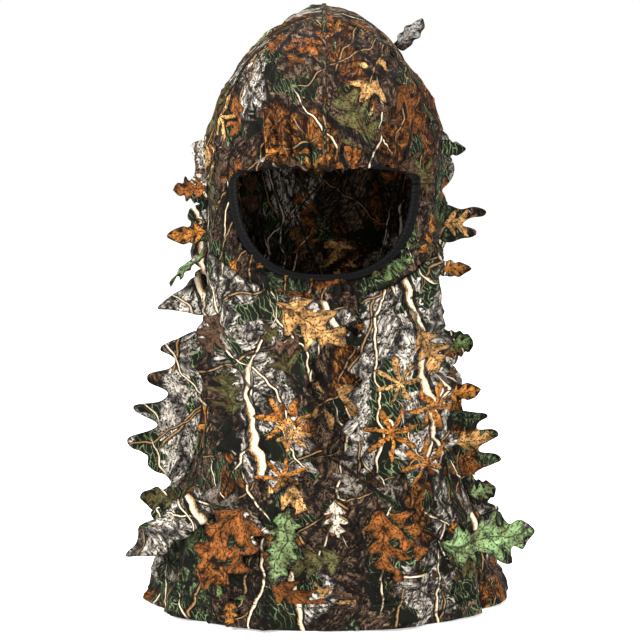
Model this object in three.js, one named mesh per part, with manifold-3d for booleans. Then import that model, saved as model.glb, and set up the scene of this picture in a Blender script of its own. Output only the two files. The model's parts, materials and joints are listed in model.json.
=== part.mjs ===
// A leafy camouflage face mask: a pull-on cloth hood with an elasticated face opening, a short
// cape over neck and shoulders, and die-cut cloth leaves sewn to it.
// Millimetres, +Z up, the face looks along -Y. The origin is inside the crown, where the
// wearer's head carries the hood.

import * as THREE from "three";
import { mergeVertices } from "three/addons/utils/BufferGeometryUtils.js";
import Module from "manifold-3d";

const wasm = await Module();
wasm.setup();

// ---- Driving dimensions ----

const CLOTH = 1.2; // wall of a hood panel
const LEAF_CLOTH = 1.0; // wall of a die-cut leaf
const GAP = 0.3; // clearance between two pieces sewn face to face or edge to edge
const FACET = 0.4; // the panels' flat facets stray this far outside their true curve

// Levels of the hood, measured down from the crown.
const TEMPLE_DOWN = 104;
const JAW_DOWN = 186;
const NECK_DOWN = 233;
const CHEST_DOWN = 328;
const FLARE_DOWN = 388;
const HEM_DOWN = 447;
const DOME_POWER = 1.7; // 2 is an ellipsoid, less is more pointed

// Half width, depth in front of the axis and depth behind it at each level.
const TEMPLE = { side: 87, front: 100, back: 113 };
const JAW = { side: 87, front: 97, back: 104 };
const NECK = { side: 89, front: 91, back: 98 };
const CHEST = { side: 97, front: 90, back: 97 };
const FLARE = { side: 119, front: 96, back: 103 };
const HEM = { side: 137, front: 103, back: 109 };

// Face opening.
const OPENING_SIDE = 71; // half width
const OPENING_LEVEL = 127; // its widest level, down from the crown
const OPENING_RISE = 15; // from there to the brow edge
const OPENING_DROP = 66; // and to the chin edge
const CASING_WIDTH = 9;
const CASING_PROUD = 0.8; // the folded casing stands this far out of the panels
const ELASTIC_INTO = 7; // how far the elastic shows inside the opening
const ELASTIC_UNDER = 4; // and how far it reaches under the casing
const ELASTIC_THICK = 1.2;

// Seams.
const ARCH_FRONT = 35; // the arch seam lies in a plane this far in front of the axis
const TAPE_WIDTH = 5;
const TAPE_THICK = 0.8;
const HEM_WIDTH = 20;
const HEM_PROUD = 0.4;

// Front drapes.
const DRAPE_LIFT = 2; // clear of the panels and of the seam tape
const DRAPE_TOP = 208; // their sewn edge, down from the crown
const DRAPE_FOLD = 4; // seam allowance folded under it

const AROUND = 32; // facets round the hood
const DOME_ROWS = 7;
const BODY_ROWS = 11;
const FAR = 400; // longer than the hood in any direction

// ---- The hood's outer surface ----

const LEVELS = [
  { z: -TEMPLE_DOWN, ...TEMPLE },
  { z: -JAW_DOWN, ...JAW },
  { z: -NECK_DOWN, ...NECK },
  { z: -CHEST_DOWN, ...CHEST },
  { z: -FLARE_DOWN, ...FLARE },
  { z: -HEM_DOWN, ...HEM },
];

// Slope of one section value at a level. It is zero at the temple, where the dome starts.
function slope(i, key) {
  if (i === 0) return 0;
  const above = LEVELS[i - 1];
  const below = LEVELS[Math.min(i + 1, LEVELS.length - 1)];
  return (below[key] - above[key]) / (below.z - above.z);
}

// Half width, front depth and back depth at height z: cubic between the levels, a pointed
// dome above the temple.
function sectionAt(z) {
  if (z >= -TEMPLE_DOWN) {
    const rise = Math.min((z + TEMPLE_DOWN) / TEMPLE_DOWN, 1);
    const share = (1 - rise ** DOME_POWER) ** (1 / DOME_POWER);
    return { side: TEMPLE.side * share, front: TEMPLE.front * share, back: TEMPLE.back * share };
  }
  let i = 0;
  while (i < LEVELS.length - 2 && z < LEVELS[i + 1].z) i++;
  const a = LEVELS[i];
  const b = LEVELS[i + 1];
  const span = b.z - a.z;
  const t = (z - a.z) / span;
  const made = {};
  for (const key of ["side", "front", "back"]) {
    const curve =
      a[key] * (1 + 2 * t) * (1 - t) ** 2 +
      slope(i, key) * span * t * (1 - t) ** 2 +
      b[key] * t ** 2 * (3 - 2 * t) +
      slope(i + 1, key) * span * t ** 2 * (t - 1);
    made[key] = curve;
  }
  return made;
}

// The point at angle turn round the axis, 0 at the face and positive towards +X.
function ringPoint(section, turn, z, out) {
  const depth = Math.cos(turn) > 0 ? section.front : section.back;
  return new THREE.Vector3(
    Math.max(section.side + out, 0) * Math.sin(turn),
    -Math.max(depth + out, 0) * Math.cos(turn),
    z,
  );
}

const skinPoint = (turn, z) => ringPoint(sectionAt(z), turn, z, 0);

// The outward normal of the surface, and the horizontal and upward directions along it.
function skinFrame(turn, z) {
  const step = 0.5;
  const across = skinPoint(turn + step / 100, z).sub(skinPoint(turn - step / 100, z)).normalize();
  const up = skinPoint(turn, z + step).sub(skinPoint(turn, z - step)).normalize();
  const out = new THREE.Vector3().crossVectors(across, up).normalize();
  return { across, up, out };
}

// ---- Solids ----

function solidOf(geometry) {
  const bare = geometry.clone();
  bare.deleteAttribute("normal");
  bare.deleteAttribute("uv");
  const merged = mergeVertices(bare, 1e-3);
  return new wasm.Manifold(
    new wasm.Mesh({
      numProp: 3,
      vertProperties: new Float32Array(merged.attributes.position.array),
      triVerts: new Uint32Array(merged.index.array),
    }),
  );
}

function geometryOf(solid) {
  const made = solid.getMesh();
  const geometry = new THREE.BufferGeometry();
  geometry.setAttribute("position", new THREE.BufferAttribute(made.vertProperties, 3));
  geometry.setIndex(new THREE.BufferAttribute(made.triVerts, 1));
  return geometry;
}

// The space inside the surface moved out by an offset, closed flat at height floor.
function filled(out, floor) {
  const rows = [];
  for (let i = 1; i <= DOME_ROWS; i++) {
    const angle = (Math.PI / 2) * (1 - i / DOME_ROWS);
    const share = Math.cos(angle) ** (2 / DOME_POWER);
    const rise = Math.sin(angle) ** (2 / DOME_POWER);
    const section = {
      side: TEMPLE.side * share,
      front: TEMPLE.front * share,
      back: TEMPLE.back * share,
    };
    // Near the crown the offset turns from sideways to upwards.
    rows.push({ section, z: -TEMPLE_DOWN * (1 - rise) + out * rise, out: out * Math.sqrt(share) });
  }
  for (let i = 1; i <= BODY_ROWS; i++) {
    const z = -TEMPLE_DOWN + ((TEMPLE_DOWN - HEM_DOWN) * i) / BODY_ROWS;
    rows.push({ section: sectionAt(z), z, out });
  }
  rows.push({ ...rows[rows.length - 1], z: floor });
  const sphere = new THREE.SphereGeometry(1, AROUND, rows.length + 1);
  const place = sphere.attributes.position;
  for (let row = 0; row <= rows.length + 1; row++) {
    for (let i = 0; i <= AROUND; i++) {
      const turn = (2 * Math.PI * (i % AROUND)) / AROUND - Math.PI / 2;
      const r = rows[row - 1];
      const point =
        row === 0
          ? new THREE.Vector3(0, 0, out)
          : row > rows.length
            ? new THREE.Vector3(0, 0, floor)
            : ringPoint(r.section, turn, r.z, r.out);
      place.setXYZ(row * (AROUND + 1) + i, point.x, point.y, point.z);
    }
  }
  return solidOf(sphere);
}

const HEM_Z = -HEM_DOWN;

// A layer of cloth over the whole surface, between two offsets from it, open at the hem.
const layer = (inside, outside) => {
  const below = 10;
  const slab = new THREE.BoxGeometry(2 * FAR, 2 * FAR, 2 * FAR).translate(0, 0, FAR + HEM_Z);
  return filled(outside, HEM_Z - below)
    .subtract(filled(inside, HEM_Z - 2 * below))
    .intersect(solidOf(slab));
};

// A block with a corner at each of two opposite points.
function block(x0, x1, y0, y1, z0, z1) {
  const box = new THREE.BoxGeometry(x1 - x0, y1 - y0, z1 - z0);
  return solidOf(box.translate((x0 + x1) / 2, (y0 + y1) / 2, (z0 + z1) / 2));
}

// An outline in x and z, cut straight through the front of the hood.
function throughFront(points) {
  const shape = new THREE.Shape(points.map(([x, z]) => new THREE.Vector2(x, z)));
  const depth = FAR / 2;
  const prism = new THREE.ExtrudeGeometry(shape, { depth, bevelEnabled: false });
  return solidOf(prism.rotateX(Math.PI / 2));
}

// The face opening's outline, grown by a margin: nearly flat at the brow, half round below.
function openingOutline(grow) {
  const count = 36;
  const brow = 0.62;
  return Array.from({ length: count }, (_, i) => {
    const angle = (2 * Math.PI * i) / count;
    const x = (OPENING_SIDE + grow) * Math.sign(Math.cos(angle)) * Math.abs(Math.cos(angle)) ** 0.9;
    const rise =
      Math.sin(angle) > 0
        ? (OPENING_RISE + grow) * Math.sin(angle) ** brow
        : (OPENING_DROP + grow) * Math.sin(angle);
    return [x, -OPENING_LEVEL + rise];
  });
}

// ---- Materials ----

const finish = (color, roughness = 0.85) =>
  new THREE.MeshStandardMaterial({ color, roughness, metalness: 0 });
const bark = finish(0x5b4a3c);
const barkGrey = finish(0x857a70);
const rust = finish(0xa8642a);
const moss = finish(0x6f8a4f);
const black = finish(0x1c1c1d, 0.7);
const edging = finish(0x3c3a2e);

const hood = new THREE.Group();

function add(name, geometry, material, seam) {
  const mesh = new THREE.Mesh(geometry, material);
  mesh.name = name;
  if (seam) mesh.userData.seam = seam;
  hood.add(mesh);
}

// ---- Panels of the hood and cape ----

const cloth = layer(-CLOTH, 0);
const openingCut = throughFront(openingOutline(CASING_WIDTH + GAP));
const BROW_Z = -OPENING_LEVEL + 8; // the brow seam, level with the top corners of the opening
const HEM_TOP = HEM_Z + HEM_WIDTH;
const NECK_Z = -NECK_DOWN;
const HALF = GAP / 2;

const front = (x0, x1, z0, z1) => block(x0, x1, -FAR, -ARCH_FRONT - HALF, z0, z1);
const rear = (x0, x1, z0, z1) =>
  block(x0, x1, -ARCH_FRONT + HALF, FAR, z0, z1).subtract(openingCut);

for (const [side, x0, x1] of [
  ["left", -FAR, -HALF],
  ["right", HALF, FAR],
]) {
  const forehead = cloth.intersect(front(x0, x1, BROW_Z + HALF, FAR)).subtract(openingCut);
  add("forehead_panel_" + side, geometryOf(forehead), bark);
  add("hood_panel_" + side, geometryOf(cloth.intersect(rear(x0, x1, NECK_Z + HALF, FAR))), bark);
  const cape = cloth.intersect(rear(x0, x1, HEM_TOP + GAP, NECK_Z - HALF));
  add("cape_panel_" + side, geometryOf(cape), bark);
}
const bib = cloth.intersect(front(-FAR, FAR, HEM_TOP + GAP, BROW_Z - HALF)).subtract(openingCut);
add("front_panel", geometryOf(bib), bark);

// The hem is turned up, so it is thicker. Front and back halves meet at the side seams.
const turnedUp = layer(-CLOTH - HEM_PROUD, HEM_PROUD);
add("hem_front", geometryOf(turnedUp.intersect(front(-FAR, FAR, HEM_Z, HEM_TOP))), edging);
add("hem_back", geometryOf(turnedUp.intersect(rear(-FAR, FAR, HEM_Z, HEM_TOP))), edging);

// ---- Face opening: a folded casing, and the elastic inside it ----

const casing = layer(-CLOTH, CASING_PROUD)
  .intersect(throughFront(openingOutline(CASING_WIDTH)))
  .subtract(throughFront(openingOutline(0)));
add("opening_casing", geometryOf(casing), edging);

const elastic = layer(-CLOTH - GAP - ELASTIC_THICK, -CLOTH - GAP)
  .intersect(throughFront(openingOutline(ELASTIC_UNDER)))
  .subtract(throughFront(openingOutline(-ELASTIC_INTO)));
add("face_elastic", geometryOf(elastic), black);

// ---- Seam tapes, on the outside of the panels ----

const tape = layer(GAP, GAP + TAPE_THICK);
const overCasing = throughFront(openingOutline(CASING_WIDTH + 2 * GAP));
const T = TAPE_WIDTH / 2;
for (const [side, x0, x1] of [
  ["left", -FAR, -T - GAP],
  ["right", T + GAP, FAR],
]) {
  const archBlock = block(x0, x1, -ARCH_FRONT - T, -ARCH_FRONT + T, HEM_TOP + GAP, FAR);
  add("arch_tape_" + side, geometryOf(tape.intersect(archBlock).subtract(overCasing)), edging);
  const neckBlock = block(x0, x1, -ARCH_FRONT + T + GAP, FAR, NECK_Z - T, NECK_Z + T);
  add("neck_tape_" + side, geometryOf(tape.intersect(neckBlock)), edging);
}
const crownBlock = block(-T, T, -FAR, -GAP, BROW_Z, FAR);
const backBlock = block(-T, T, 0, FAR, HEM_TOP + GAP, FAR);
add("centre_tape", geometryOf(tape.intersect(crownBlock).subtract(overCasing)), edging);
add("back_tape", geometryOf(tape.intersect(backBlock)), edging);

// ---- Front drapes: two large leaf-cut sheets that hang from the opening's lower edge ----

function drape(name, outline, material, middleTurn, range) {
  const curve = new THREE.SplineCurve(outline.map(([x, z]) => new THREE.Vector2(x, z)));
  const edge = curve.getPoints(outline.length * 3).map((p) => [p.x, p.y]);
  const first = edge[0];
  const closed = first[0] === edge[edge.length - 1][0] ? edge.slice(0, -1) : edge;
  const cut = throughFront(closed);
  const sheet = layer(DRAPE_LIFT, DRAPE_LIFT + LEAF_CLOTH).intersect(cut);
  // The top edge is folded under, and its fold is sewn to the panel.
  const tapeFront = -ARCH_FRONT - TAPE_WIDTH / 2 - GAP;
  const foldBlock = block(-FAR, FAR, -FAR, tapeFront, -DRAPE_TOP - DRAPE_FOLD, -DRAPE_TOP);
  const fold = layer(GAP, DRAPE_LIFT + LEAF_CLOTH / 2).intersect(cut).intersect(foldBlock);
  const frame = skinFrame(middleTurn, -DRAPE_TOP);
  const pivot = skinPoint(middleTurn, -DRAPE_TOP).addScaledVector(frame.out, GAP);
  // Turning about this axis lifts the free edge away from the hood.
  const axis = frame.across.clone().setZ(0).normalize().negate();
  add(name, geometryOf(sheet.add(fold)), material, { pivot, axis, range });
}

const TOP = -DRAPE_TOP;
// The left drape has a tongue that reaches over the throat.
drape(
  "front_drape_left",
  [
    [-76, TOP], [-50, TOP], [-22, TOP], [-4, TOP - 6], [10, TOP - 17], [24, TOP - 33],
    [2, TOP - 33], [-13, TOP - 45], [-8, TOP - 70], [3, TOP - 92], [-6, TOP - 104],
    [2, TOP - 120], [-12, TOP - 138], [-26, TOP - 126], [-38, TOP - 141], [-50, TOP - 129],
    [-66, TOP - 136], [-72, TOP - 112], [-80, TOP - 92], [-72, TOP - 60], [-80, TOP - 30],
  ],
  barkGrey,
  -0.5,
  [0, 55],
);
drape(
  "front_drape_right",
  [
    [34, TOP], [55, TOP], [77, TOP], [82, TOP - 26], [78, TOP - 55], [86, TOP - 80],
    [80, TOP - 104], [90, TOP - 126], [76, TOP - 140], [64, TOP - 128], [50, TOP - 142],
    [38, TOP - 127], [26, TOP - 139], [14, TOP - 128], [16, TOP - 102], [24, TOP - 80],
    [17, TOP - 62], [28, TOP - 44], [34, TOP - 22],
  ],
  barkGrey,
  0.6,
  [0, 55],
);

// ---- Die-cut leaves ----

// Half the width of a leaf at share u of its length: a tab at the sewn root, then lobes.
function leafHalfWidth(leaf, u) {
  const swell = Math.sin(Math.PI * Math.min(u, 1) ** 0.75) ** 0.7;
  const notch = leaf.lobes ? 0.5 - 0.5 * Math.cos(2 * Math.PI * leaf.lobes * u) : 1;
  const width = (leaf.width / 2) * swell * (0.55 + 0.45 * notch);
  return Math.max(width, u < 0.5 ? leaf.root / 2 : 0.8);
}

// How far a spray reaches out from its sewn edge at v, from -1 to 1 along that edge.
function sprayReach(leaf, v) {
  const notch = 0.5 - 0.5 * Math.cos(Math.PI * leaf.lobes * (v + 1));
  const swell = Math.max(1 - 0.55 * (v - leaf.lean) ** 2, 0.3);
  return leaf.length * swell * (0.5 + 0.5 * notch);
}

// The panels, grown by the clearance: where one of their facets comes nearer than that to a
// leaf, the leaf gives way.
const keepOff = layer(-CLOTH, GAP);

const LEAF_DEFAULTS = {
  heading: -90,
  lift: 14,
  root: 8,
  lobes: 3,
  curl: 4,
  clear: 0, // extra room off the panel
  range: [-6, 60],
};

// A leaf is sewn at its root to the panel at (turn, z). It heads along the panel, 0 degrees
// being towards +turn and 90 up, and stands off it by lift degrees, curling as it goes.
function leaf(name, options, material) {
  const o = { ...LEAF_DEFAULTS, ...options };
  const turn = THREE.MathUtils.degToRad(o.turn);
  const heading = THREE.MathUtils.degToRad(o.heading);
  const lift = THREE.MathUtils.degToRad(o.lift);
  const { across, up, out } = skinFrame(turn, o.z);
  const along = across.clone().multiplyScalar(Math.cos(heading));
  along.addScaledVector(up, Math.sin(heading));
  const side = new THREE.Vector3().crossVectors(out, along);
  const reach = along.clone().multiplyScalar(Math.cos(lift)).addScaledVector(out, Math.sin(lift));
  const face = new THREE.Vector3().crossVectors(reach, side);
  // The root's underside is one gap off the panel. A spray's long root follows the panel.
  const stand = GAP + (LEAF_CLOTH / 2) * Math.cos(lift) + o.clear;
  const perTurn = skinPoint(turn + 0.01, o.z).distanceTo(skinPoint(turn - 0.01, o.z)) / 0.02;
  const rootAt = (distance) => {
    const there = turn + (side.dot(across) * distance) / perTurn;
    const z = o.z + side.z * distance;
    return skinPoint(there, z).addScaledVector(skinFrame(there, z).out, stand);
  };
  const root = rootAt(0);

  const [steps, strips] = o.spray ? [3, 14] : [12, 2];
  const box = new THREE.BoxGeometry(1, 1, 1, steps, strips, 1);
  const place = box.attributes.position;
  const p = new THREE.Vector3();
  for (let i = 0; i < place.count; i++) {
    const u = place.getX(i) + 0.5;
    const v = place.getY(i) * 2;
    const across2 = o.spray ? (v * o.width) / 2 : v * leafHalfWidth(o, u);
    const out2 = o.spray ? u * sprayReach(o, v) : u * o.length;
    if (o.spray) p.copy(rootAt(across2));
    else p.copy(root).addScaledVector(side, across2);
    p.addScaledVector(reach, out2);
    p.addScaledVector(face, o.curl * u * u + place.getZ(i) * LEAF_CLOTH);
    place.setXYZ(i, p.x, p.y, p.z);
  }
  const cut = solidOf(box).subtract(keepOff);
  add(name, geometryOf(cut), material, { pivot: root, axis: side.negate(), range: o.range });
}

// A spray is a wide leaf sewn along one straight edge, lobed along the other.
const spray = (name, options, material) =>
  leaf(name, { spray: true, lean: 0, lift: 70, curl: 3, clear: FACET, ...options }, material);

const OUTWARD = { lift: 62, curl: 3, range: [-35, 35] };

// Crown and left side.
leaf("crown_leaf", { turn: 84, z: -31, heading: 84, lift: 72, length: 27, width: 15, lobes: 0,
  root: 7, range: [-40, 30] }, barkGrey);
leaf("temple_leaf_left", { turn: -82, z: -134, heading: 190, length: 26, width: 24, ...OUTWARD },
  rust);
leaf("cheek_leaf_left", { turn: -80, z: -166, heading: 205, length: 30, width: 18, ...OUTWARD },
  rust);
leaf("jaw_leaf_left", { turn: -80, z: -178, heading: 238, lift: 32, length: 44, width: 34,
  range: [-6, 35] }, moss);
spray("neck_spray_left", { turn: -86, z: -214, heading: 200, length: 40, width: 28, lobes: 1,
  lean: 0.6, range: [-25, 18] }, barkGrey);
spray("shoulder_spray_left", { turn: -85, z: -302, heading: 180, length: 50, width: 104, lobes: 4,
  lean: 0.5, lift: 62, range: [-10, 30] }, barkGrey);
leaf("shoulder_leaf_left", { turn: -78, z: -368, heading: 215, lift: 40, length: 30, width: 20,
  lobes: 0, range: [-20, 40] }, moss);

// Right side.
leaf("temple_leaf_right", { turn: 84, z: -104, heading: -20, length: 17, width: 14, lobes: 0,
  ...OUTWARD }, barkGrey);
spray("cheek_spray_right", { turn: 82, z: -160, heading: 8, length: 36, width: 26, lobes: 2,
  range: [-35, 35] }, rust);
leaf("jaw_leaf_right", { turn: 84, z: -194, heading: -15, length: 22, width: 14, lobes: 0,
  ...OUTWARD }, rust);
leaf("neck_leaf_right", { turn: 80, z: -250, heading: -10, length: 22, width: 22, lobes: 0,
  ...OUTWARD }, moss);
leaf("shoulder_leaf_right", { turn: 77, z: -288, heading: 4, length: 28, width: 16, lobes: 0,
  lift: 50, curl: 3, range: [-25, 40] }, rust);
spray("shoulder_spray_right", { turn: 82, z: -328, heading: 0, length: 34, width: 46, lobes: 3,
  range: [-6, 35] }, barkGrey);
leaf("elbow_leaf_right", { turn: 80, z: -366, heading: -14, lift: 46, length: 20, width: 20,
  lobes: 0, range: [-20, 40] }, moss);

// Lower front, below the drapes.
leaf("log_leaf_left", { turn: -53, z: -362, heading: 238, length: 78, width: 44, lobes: 1,
  root: 14, lift: 12 }, bark);
leaf("rust_leaf_left", { turn: -31, z: -362, heading: 262, length: 64, width: 52, root: 10 }, rust);
leaf("oak_leaf_left", { turn: -13, z: -358, heading: 268, length: 58, width: 32, root: 8 }, moss);
leaf("birch_leaf_front", { turn: 4, z: -352, heading: 272, length: 28, width: 20, lobes: 0 },
  barkGrey);
leaf("rust_leaf_right", { turn: 23, z: -360, heading: 276, length: 62, width: 50, root: 10 }, rust);
leaf("oak_leaf_right", { turn: 44, z: -394, heading: 2, length: 76, width: 50, root: 10, lift: 15,
  curl: 2, range: [-4, 50] }, moss);
leaf("hem_leaf_left", { turn: -31, z: -427.5, heading: 285, length: 18, width: 18, lobes: 0,
  root: 6, lift: 12, curl: 1, range: [-2, 60] }, rust);

// The back: staggered rows from crown to cape.
const BACK_ROWS = [
  { z: -62, turns: [150, 210], length: 56, width: 44 },
  { z: -132, turns: [125, 187, 235], length: 70, width: 50 },
  { z: -246, turns: [122, 160, 200, 238], length: 72, width: 50 },
  { z: -338, turns: [124, 171, 228], length: 76, width: 62, lift: 25,
    clear: 0.6 },
];
const BACK_MATERIALS = [rust, moss, barkGrey, bark];
BACK_ROWS.forEach((row, r) =>
  row.turns.forEach((turn, i) => {
    const heading = -90 + (turn > 180 ? -8 : 8);
    leaf("back_leaf_" + (r + 1) + "_" + (i + 1), { ...row, turn, heading },
      BACK_MATERIALS[(r + i) % BACK_MATERIALS.length]);
  }),
);

export default hood;
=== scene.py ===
# %% [markdown]
# # A leafy camouflage face mask
# A cloth hood is pulled over the head. The face looks out of a gathered, elasticated opening,
# a short cape covers neck and shoulders, and cut cloth leaves are sewn all over it. The solid
# frame already has every sewn piece as a plain shell, with a hinge where a leaf can lift. Here
# each shell gets its cloth: pleats, creases, leaf-cut edges, and a woodland print.

import json
import math

import bmesh
import bpy
import numpy as np
from mathutils import Matrix, Vector

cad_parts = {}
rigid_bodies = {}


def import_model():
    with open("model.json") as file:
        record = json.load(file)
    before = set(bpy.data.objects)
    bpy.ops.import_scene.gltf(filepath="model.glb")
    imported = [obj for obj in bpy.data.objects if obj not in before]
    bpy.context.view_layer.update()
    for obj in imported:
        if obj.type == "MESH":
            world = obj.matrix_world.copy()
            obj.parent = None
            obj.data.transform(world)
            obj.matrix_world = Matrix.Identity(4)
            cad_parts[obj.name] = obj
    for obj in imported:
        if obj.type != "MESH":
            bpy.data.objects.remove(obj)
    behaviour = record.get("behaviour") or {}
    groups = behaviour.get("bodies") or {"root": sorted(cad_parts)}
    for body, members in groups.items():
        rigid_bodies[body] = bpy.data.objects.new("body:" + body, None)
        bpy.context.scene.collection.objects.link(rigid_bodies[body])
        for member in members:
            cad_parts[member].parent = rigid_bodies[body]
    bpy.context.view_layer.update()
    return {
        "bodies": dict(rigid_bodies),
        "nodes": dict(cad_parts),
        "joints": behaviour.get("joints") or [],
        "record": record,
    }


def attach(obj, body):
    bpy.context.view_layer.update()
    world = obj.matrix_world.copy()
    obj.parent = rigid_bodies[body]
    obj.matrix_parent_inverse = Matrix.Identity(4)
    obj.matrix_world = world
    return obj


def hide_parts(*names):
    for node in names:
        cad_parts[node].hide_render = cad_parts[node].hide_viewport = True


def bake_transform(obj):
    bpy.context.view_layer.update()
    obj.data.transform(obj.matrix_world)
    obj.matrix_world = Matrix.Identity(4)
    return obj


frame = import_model()
MM = 0.001

# %% [markdown]
# ## The hood's form
# Everything lies on one surface: a pointed dome down to the temples, then a body that widens to
# the hem. A place on it is an angle round the head, called turn, 0 at the face and positive to
# the right, and a distance down from the crown in millimetres. Its sections are ellipses whose
# front and back halves differ, so a few rows of numbers describe the whole hood. Numpy works
# on all points of a piece at once, which keeps thousands of them quick.

# %% The hood's form
# Down from the crown, half width, depth in front, depth behind, all in millimetres.
LEVELS = np.array([
    [104, 87, 100, 113],
    [186, 87, 97, 104],
    [233, 89, 91, 98],
    [328, 97, 90, 97],
    [388, 119, 96, 103],
    [447, 137, 103, 109],
], float)
TEMPLE_DOWN, HEM_DOWN = LEVELS[0, 0], LEVELS[-1, 0]
NECK_DOWN = 233  # the seam between hood and cape
HEM_TOP = HEM_DOWN - 20  # the fold of the hem is 20 mm wide
DOME_POWER = 1.7  # 2 would be a plain ellipse; less is more pointed
ARCH_FRONT = 35  # the arch seam over the head lies this far in front of the middle

SLOPES = np.zeros((len(LEVELS), 3))
SLOPES[1:-1] = (LEVELS[2:, 1:] - LEVELS[:-2, 1:]) / (LEVELS[2:, :1] - LEVELS[:-2, :1])
SLOPES[-1] = (LEVELS[-1, 1:] - LEVELS[-2, 1:]) / (LEVELS[-1, 0] - LEVELS[-2, 0])


def section(down):
    """Half width, front depth and back depth at each distance down from the crown."""
    down = np.asarray(down, float)
    k = np.clip(np.searchsorted(LEVELS[:, 0], down) - 1, 0, len(LEVELS) - 2)
    a, b = LEVELS[k], LEVELS[k + 1]
    span = (b - a)[..., :1]
    t = np.clip((down[..., None] - a[..., :1]) / span, 0, 1)
    curve = (
        a[..., 1:] * (1 + 2 * t) * (1 - t) ** 2
        + SLOPES[k] * span * t * (1 - t) ** 2
        + b[..., 1:] * t**2 * (3 - 2 * t)
        + SLOPES[k + 1] * span * t**2 * (t - 1)
    )
    rise = np.clip(1 - down / TEMPLE_DOWN, 0, 1)
    share = (1 - rise**DOME_POWER) ** (1 / DOME_POWER)
    return np.moveaxis(curve * share[..., None], -1, 0)


def skin(turn, down, out=0.0):
    """Points on the hood, moved outwards by out, all in millimetres."""
    turn, down = np.broadcast_arrays(np.asarray(turn, float), np.asarray(down, float))
    side, front, back = section(down)
    ahead = np.cos(turn) > 0
    depth = np.where(ahead, front, back)
    point = np.stack([side * np.sin(turn), -depth * np.cos(turn), -down], -1)
    rise = np.clip(1 - down / TEMPLE_DOWN, 0, 1)
    share = (1 - rise**DOME_POWER) ** (1 / DOME_POWER)
    flare = (section(down + 1)[0] - section(down - 1)[0]) / 2 * (down > TEMPLE_DOWN)
    wide = np.maximum(side / np.maximum(share, 1e-6), 1)
    deep = np.maximum(depth / np.maximum(share, 1e-6), 1)
    across = np.stack([np.sin(turn) / wide, -np.cos(turn) / deep], -1)
    across *= (share ** (DOME_POWER - 1))[..., None]
    level = np.linalg.norm(across, axis=-1)
    upward = rise ** (DOME_POWER - 1) / TEMPLE_DOWN + flare * level
    normal = np.concatenate([across, upward[..., None]], -1)
    normal /= np.linalg.norm(normal, axis=-1, keepdims=True)
    return point + normal * np.asarray(out, float)[..., None]


def arch_turn(down):
    """The turn at which the arch seam crosses each level, 0 where the crown lies behind it."""
    front = section(down)[1]
    return np.arccos(np.clip(ARCH_FRONT / np.maximum(front, ARCH_FRONT), -1, 1))


# Length along the cloth from the crown down to each level.
dome_turns = np.linspace(0, math.pi / 2, 60)
dome_down = TEMPLE_DOWN * (1 - np.cos(dome_turns) ** (2 / DOME_POWER))
ARC_DOWN = np.concatenate([dome_down, np.linspace(TEMPLE_DOWN, HEM_DOWN, 40)[1:]])
mean_radius = section(ARC_DOWN)[:2].mean(0)
ARC_LENGTH = np.concatenate([[0], np.cumsum(np.hypot(np.diff(ARC_DOWN), np.diff(mean_radius)))])


def cloth_uv(turn, down, middle):
    """Where a point of the hood lay on the flat cloth, in metres from the panel's middle line."""
    side, front, back = section(down)
    radius = (side + np.where(np.cos(turn) > 0, front, back)) / 2
    along = np.interp(down, ARC_DOWN, ARC_LENGTH)
    return np.stack([(turn - middle) * radius, -along], -1) * MM


print("cloth from crown to hem: %.0f mm" % ARC_LENGTH[-1])

# %% [markdown]
# ## The face opening
# Its edge is nearly flat at the brow and half round below. The pleats start at this edge, so
# every point of the front needs its distance from it, and how far round it lies.

# %% The face opening
OPENING_SIDE = 71  # half width, mm
OPENING_DOWN = 127  # level of its widest place, mm down from the crown
OPENING_RISE = 15  # how far it reaches above that level
OPENING_DROP = 66  # and below it
CASING = 9.0  # width of the gathered fold round it


def opening_edge(angle, grow=0.0):
    """x and distance down of the opening's edge at an angle, grown outwards by a margin."""
    c, s = np.cos(angle), np.sin(angle)
    x = (OPENING_SIDE + grow) * np.sign(c) * np.abs(c) ** np.where(s > 0, 0.8, 0.74)
    rise = np.where(
        s > 0,
        (OPENING_RISE + grow) * np.abs(s) ** 0.62,
        -(OPENING_DROP + grow) * np.abs(s) ** 0.9,
    )
    return x, OPENING_DOWN - rise


EDGE_ANGLES = np.linspace(0, 2 * math.pi, 1201)[:-1]
EDGE = np.stack(opening_edge(EDGE_ANGLES), -1)
EDGE_STEPS = np.linalg.norm(np.roll(EDGE, -1, 0) - EDGE, axis=1)
EDGE_ROUND = EDGE_STEPS.sum()
EDGE_SHARE = np.concatenate([[0], np.cumsum(EDGE_STEPS)[:-1]]) / EDGE_ROUND


def from_opening(x, down):
    """Distance from the opening's edge, and which of the edge's points is nearest."""
    points = np.stack([x, down], -1)
    gap, near = np.empty(len(points)), np.empty(len(points), int)
    for start in range(0, len(points), 2000):
        part = slice(start, start + 2000)
        d = np.linalg.norm(points[part, None] - EDGE[None], axis=2)
        near[part] = d.argmin(1)
        gap[part] = d.min(1)
    return gap, near


print("opening %.0f mm round" % EDGE_ROUND)

# %% [markdown]
# ## How the cloth lies
# Thin knitted cloth over a head does three things. It sags into broad soft folds, it creases
# along fine crooked lines, and the elastic gathers it into pleats. A ripple is a sum of waves
# in random directions, which looks random but is smooth and the same on every run. Where a
# ripple crosses zero there is a crooked line, and a crease is a narrow valley along it.


# %% How the cloth lies
def ripple(points, size, seed):
    """A smooth random value at each point, about -1 to 1, whose bumps are size across."""
    rng = np.random.default_rng(seed)
    total = np.zeros(len(points))
    for _ in range(9):
        way = rng.normal(size=points.shape[1])
        way /= np.linalg.norm(way)
        wave = points @ way * (2 * math.pi / size * rng.uniform(0.6, 1.3))
        total += np.sin(wave + rng.uniform(0, 2 * math.pi))
    return total / 3


def smooth(value, low, high):
    t = np.clip((value - low) / (high - low), 0, 1)
    return t * t * (3 - 2 * t)


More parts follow.
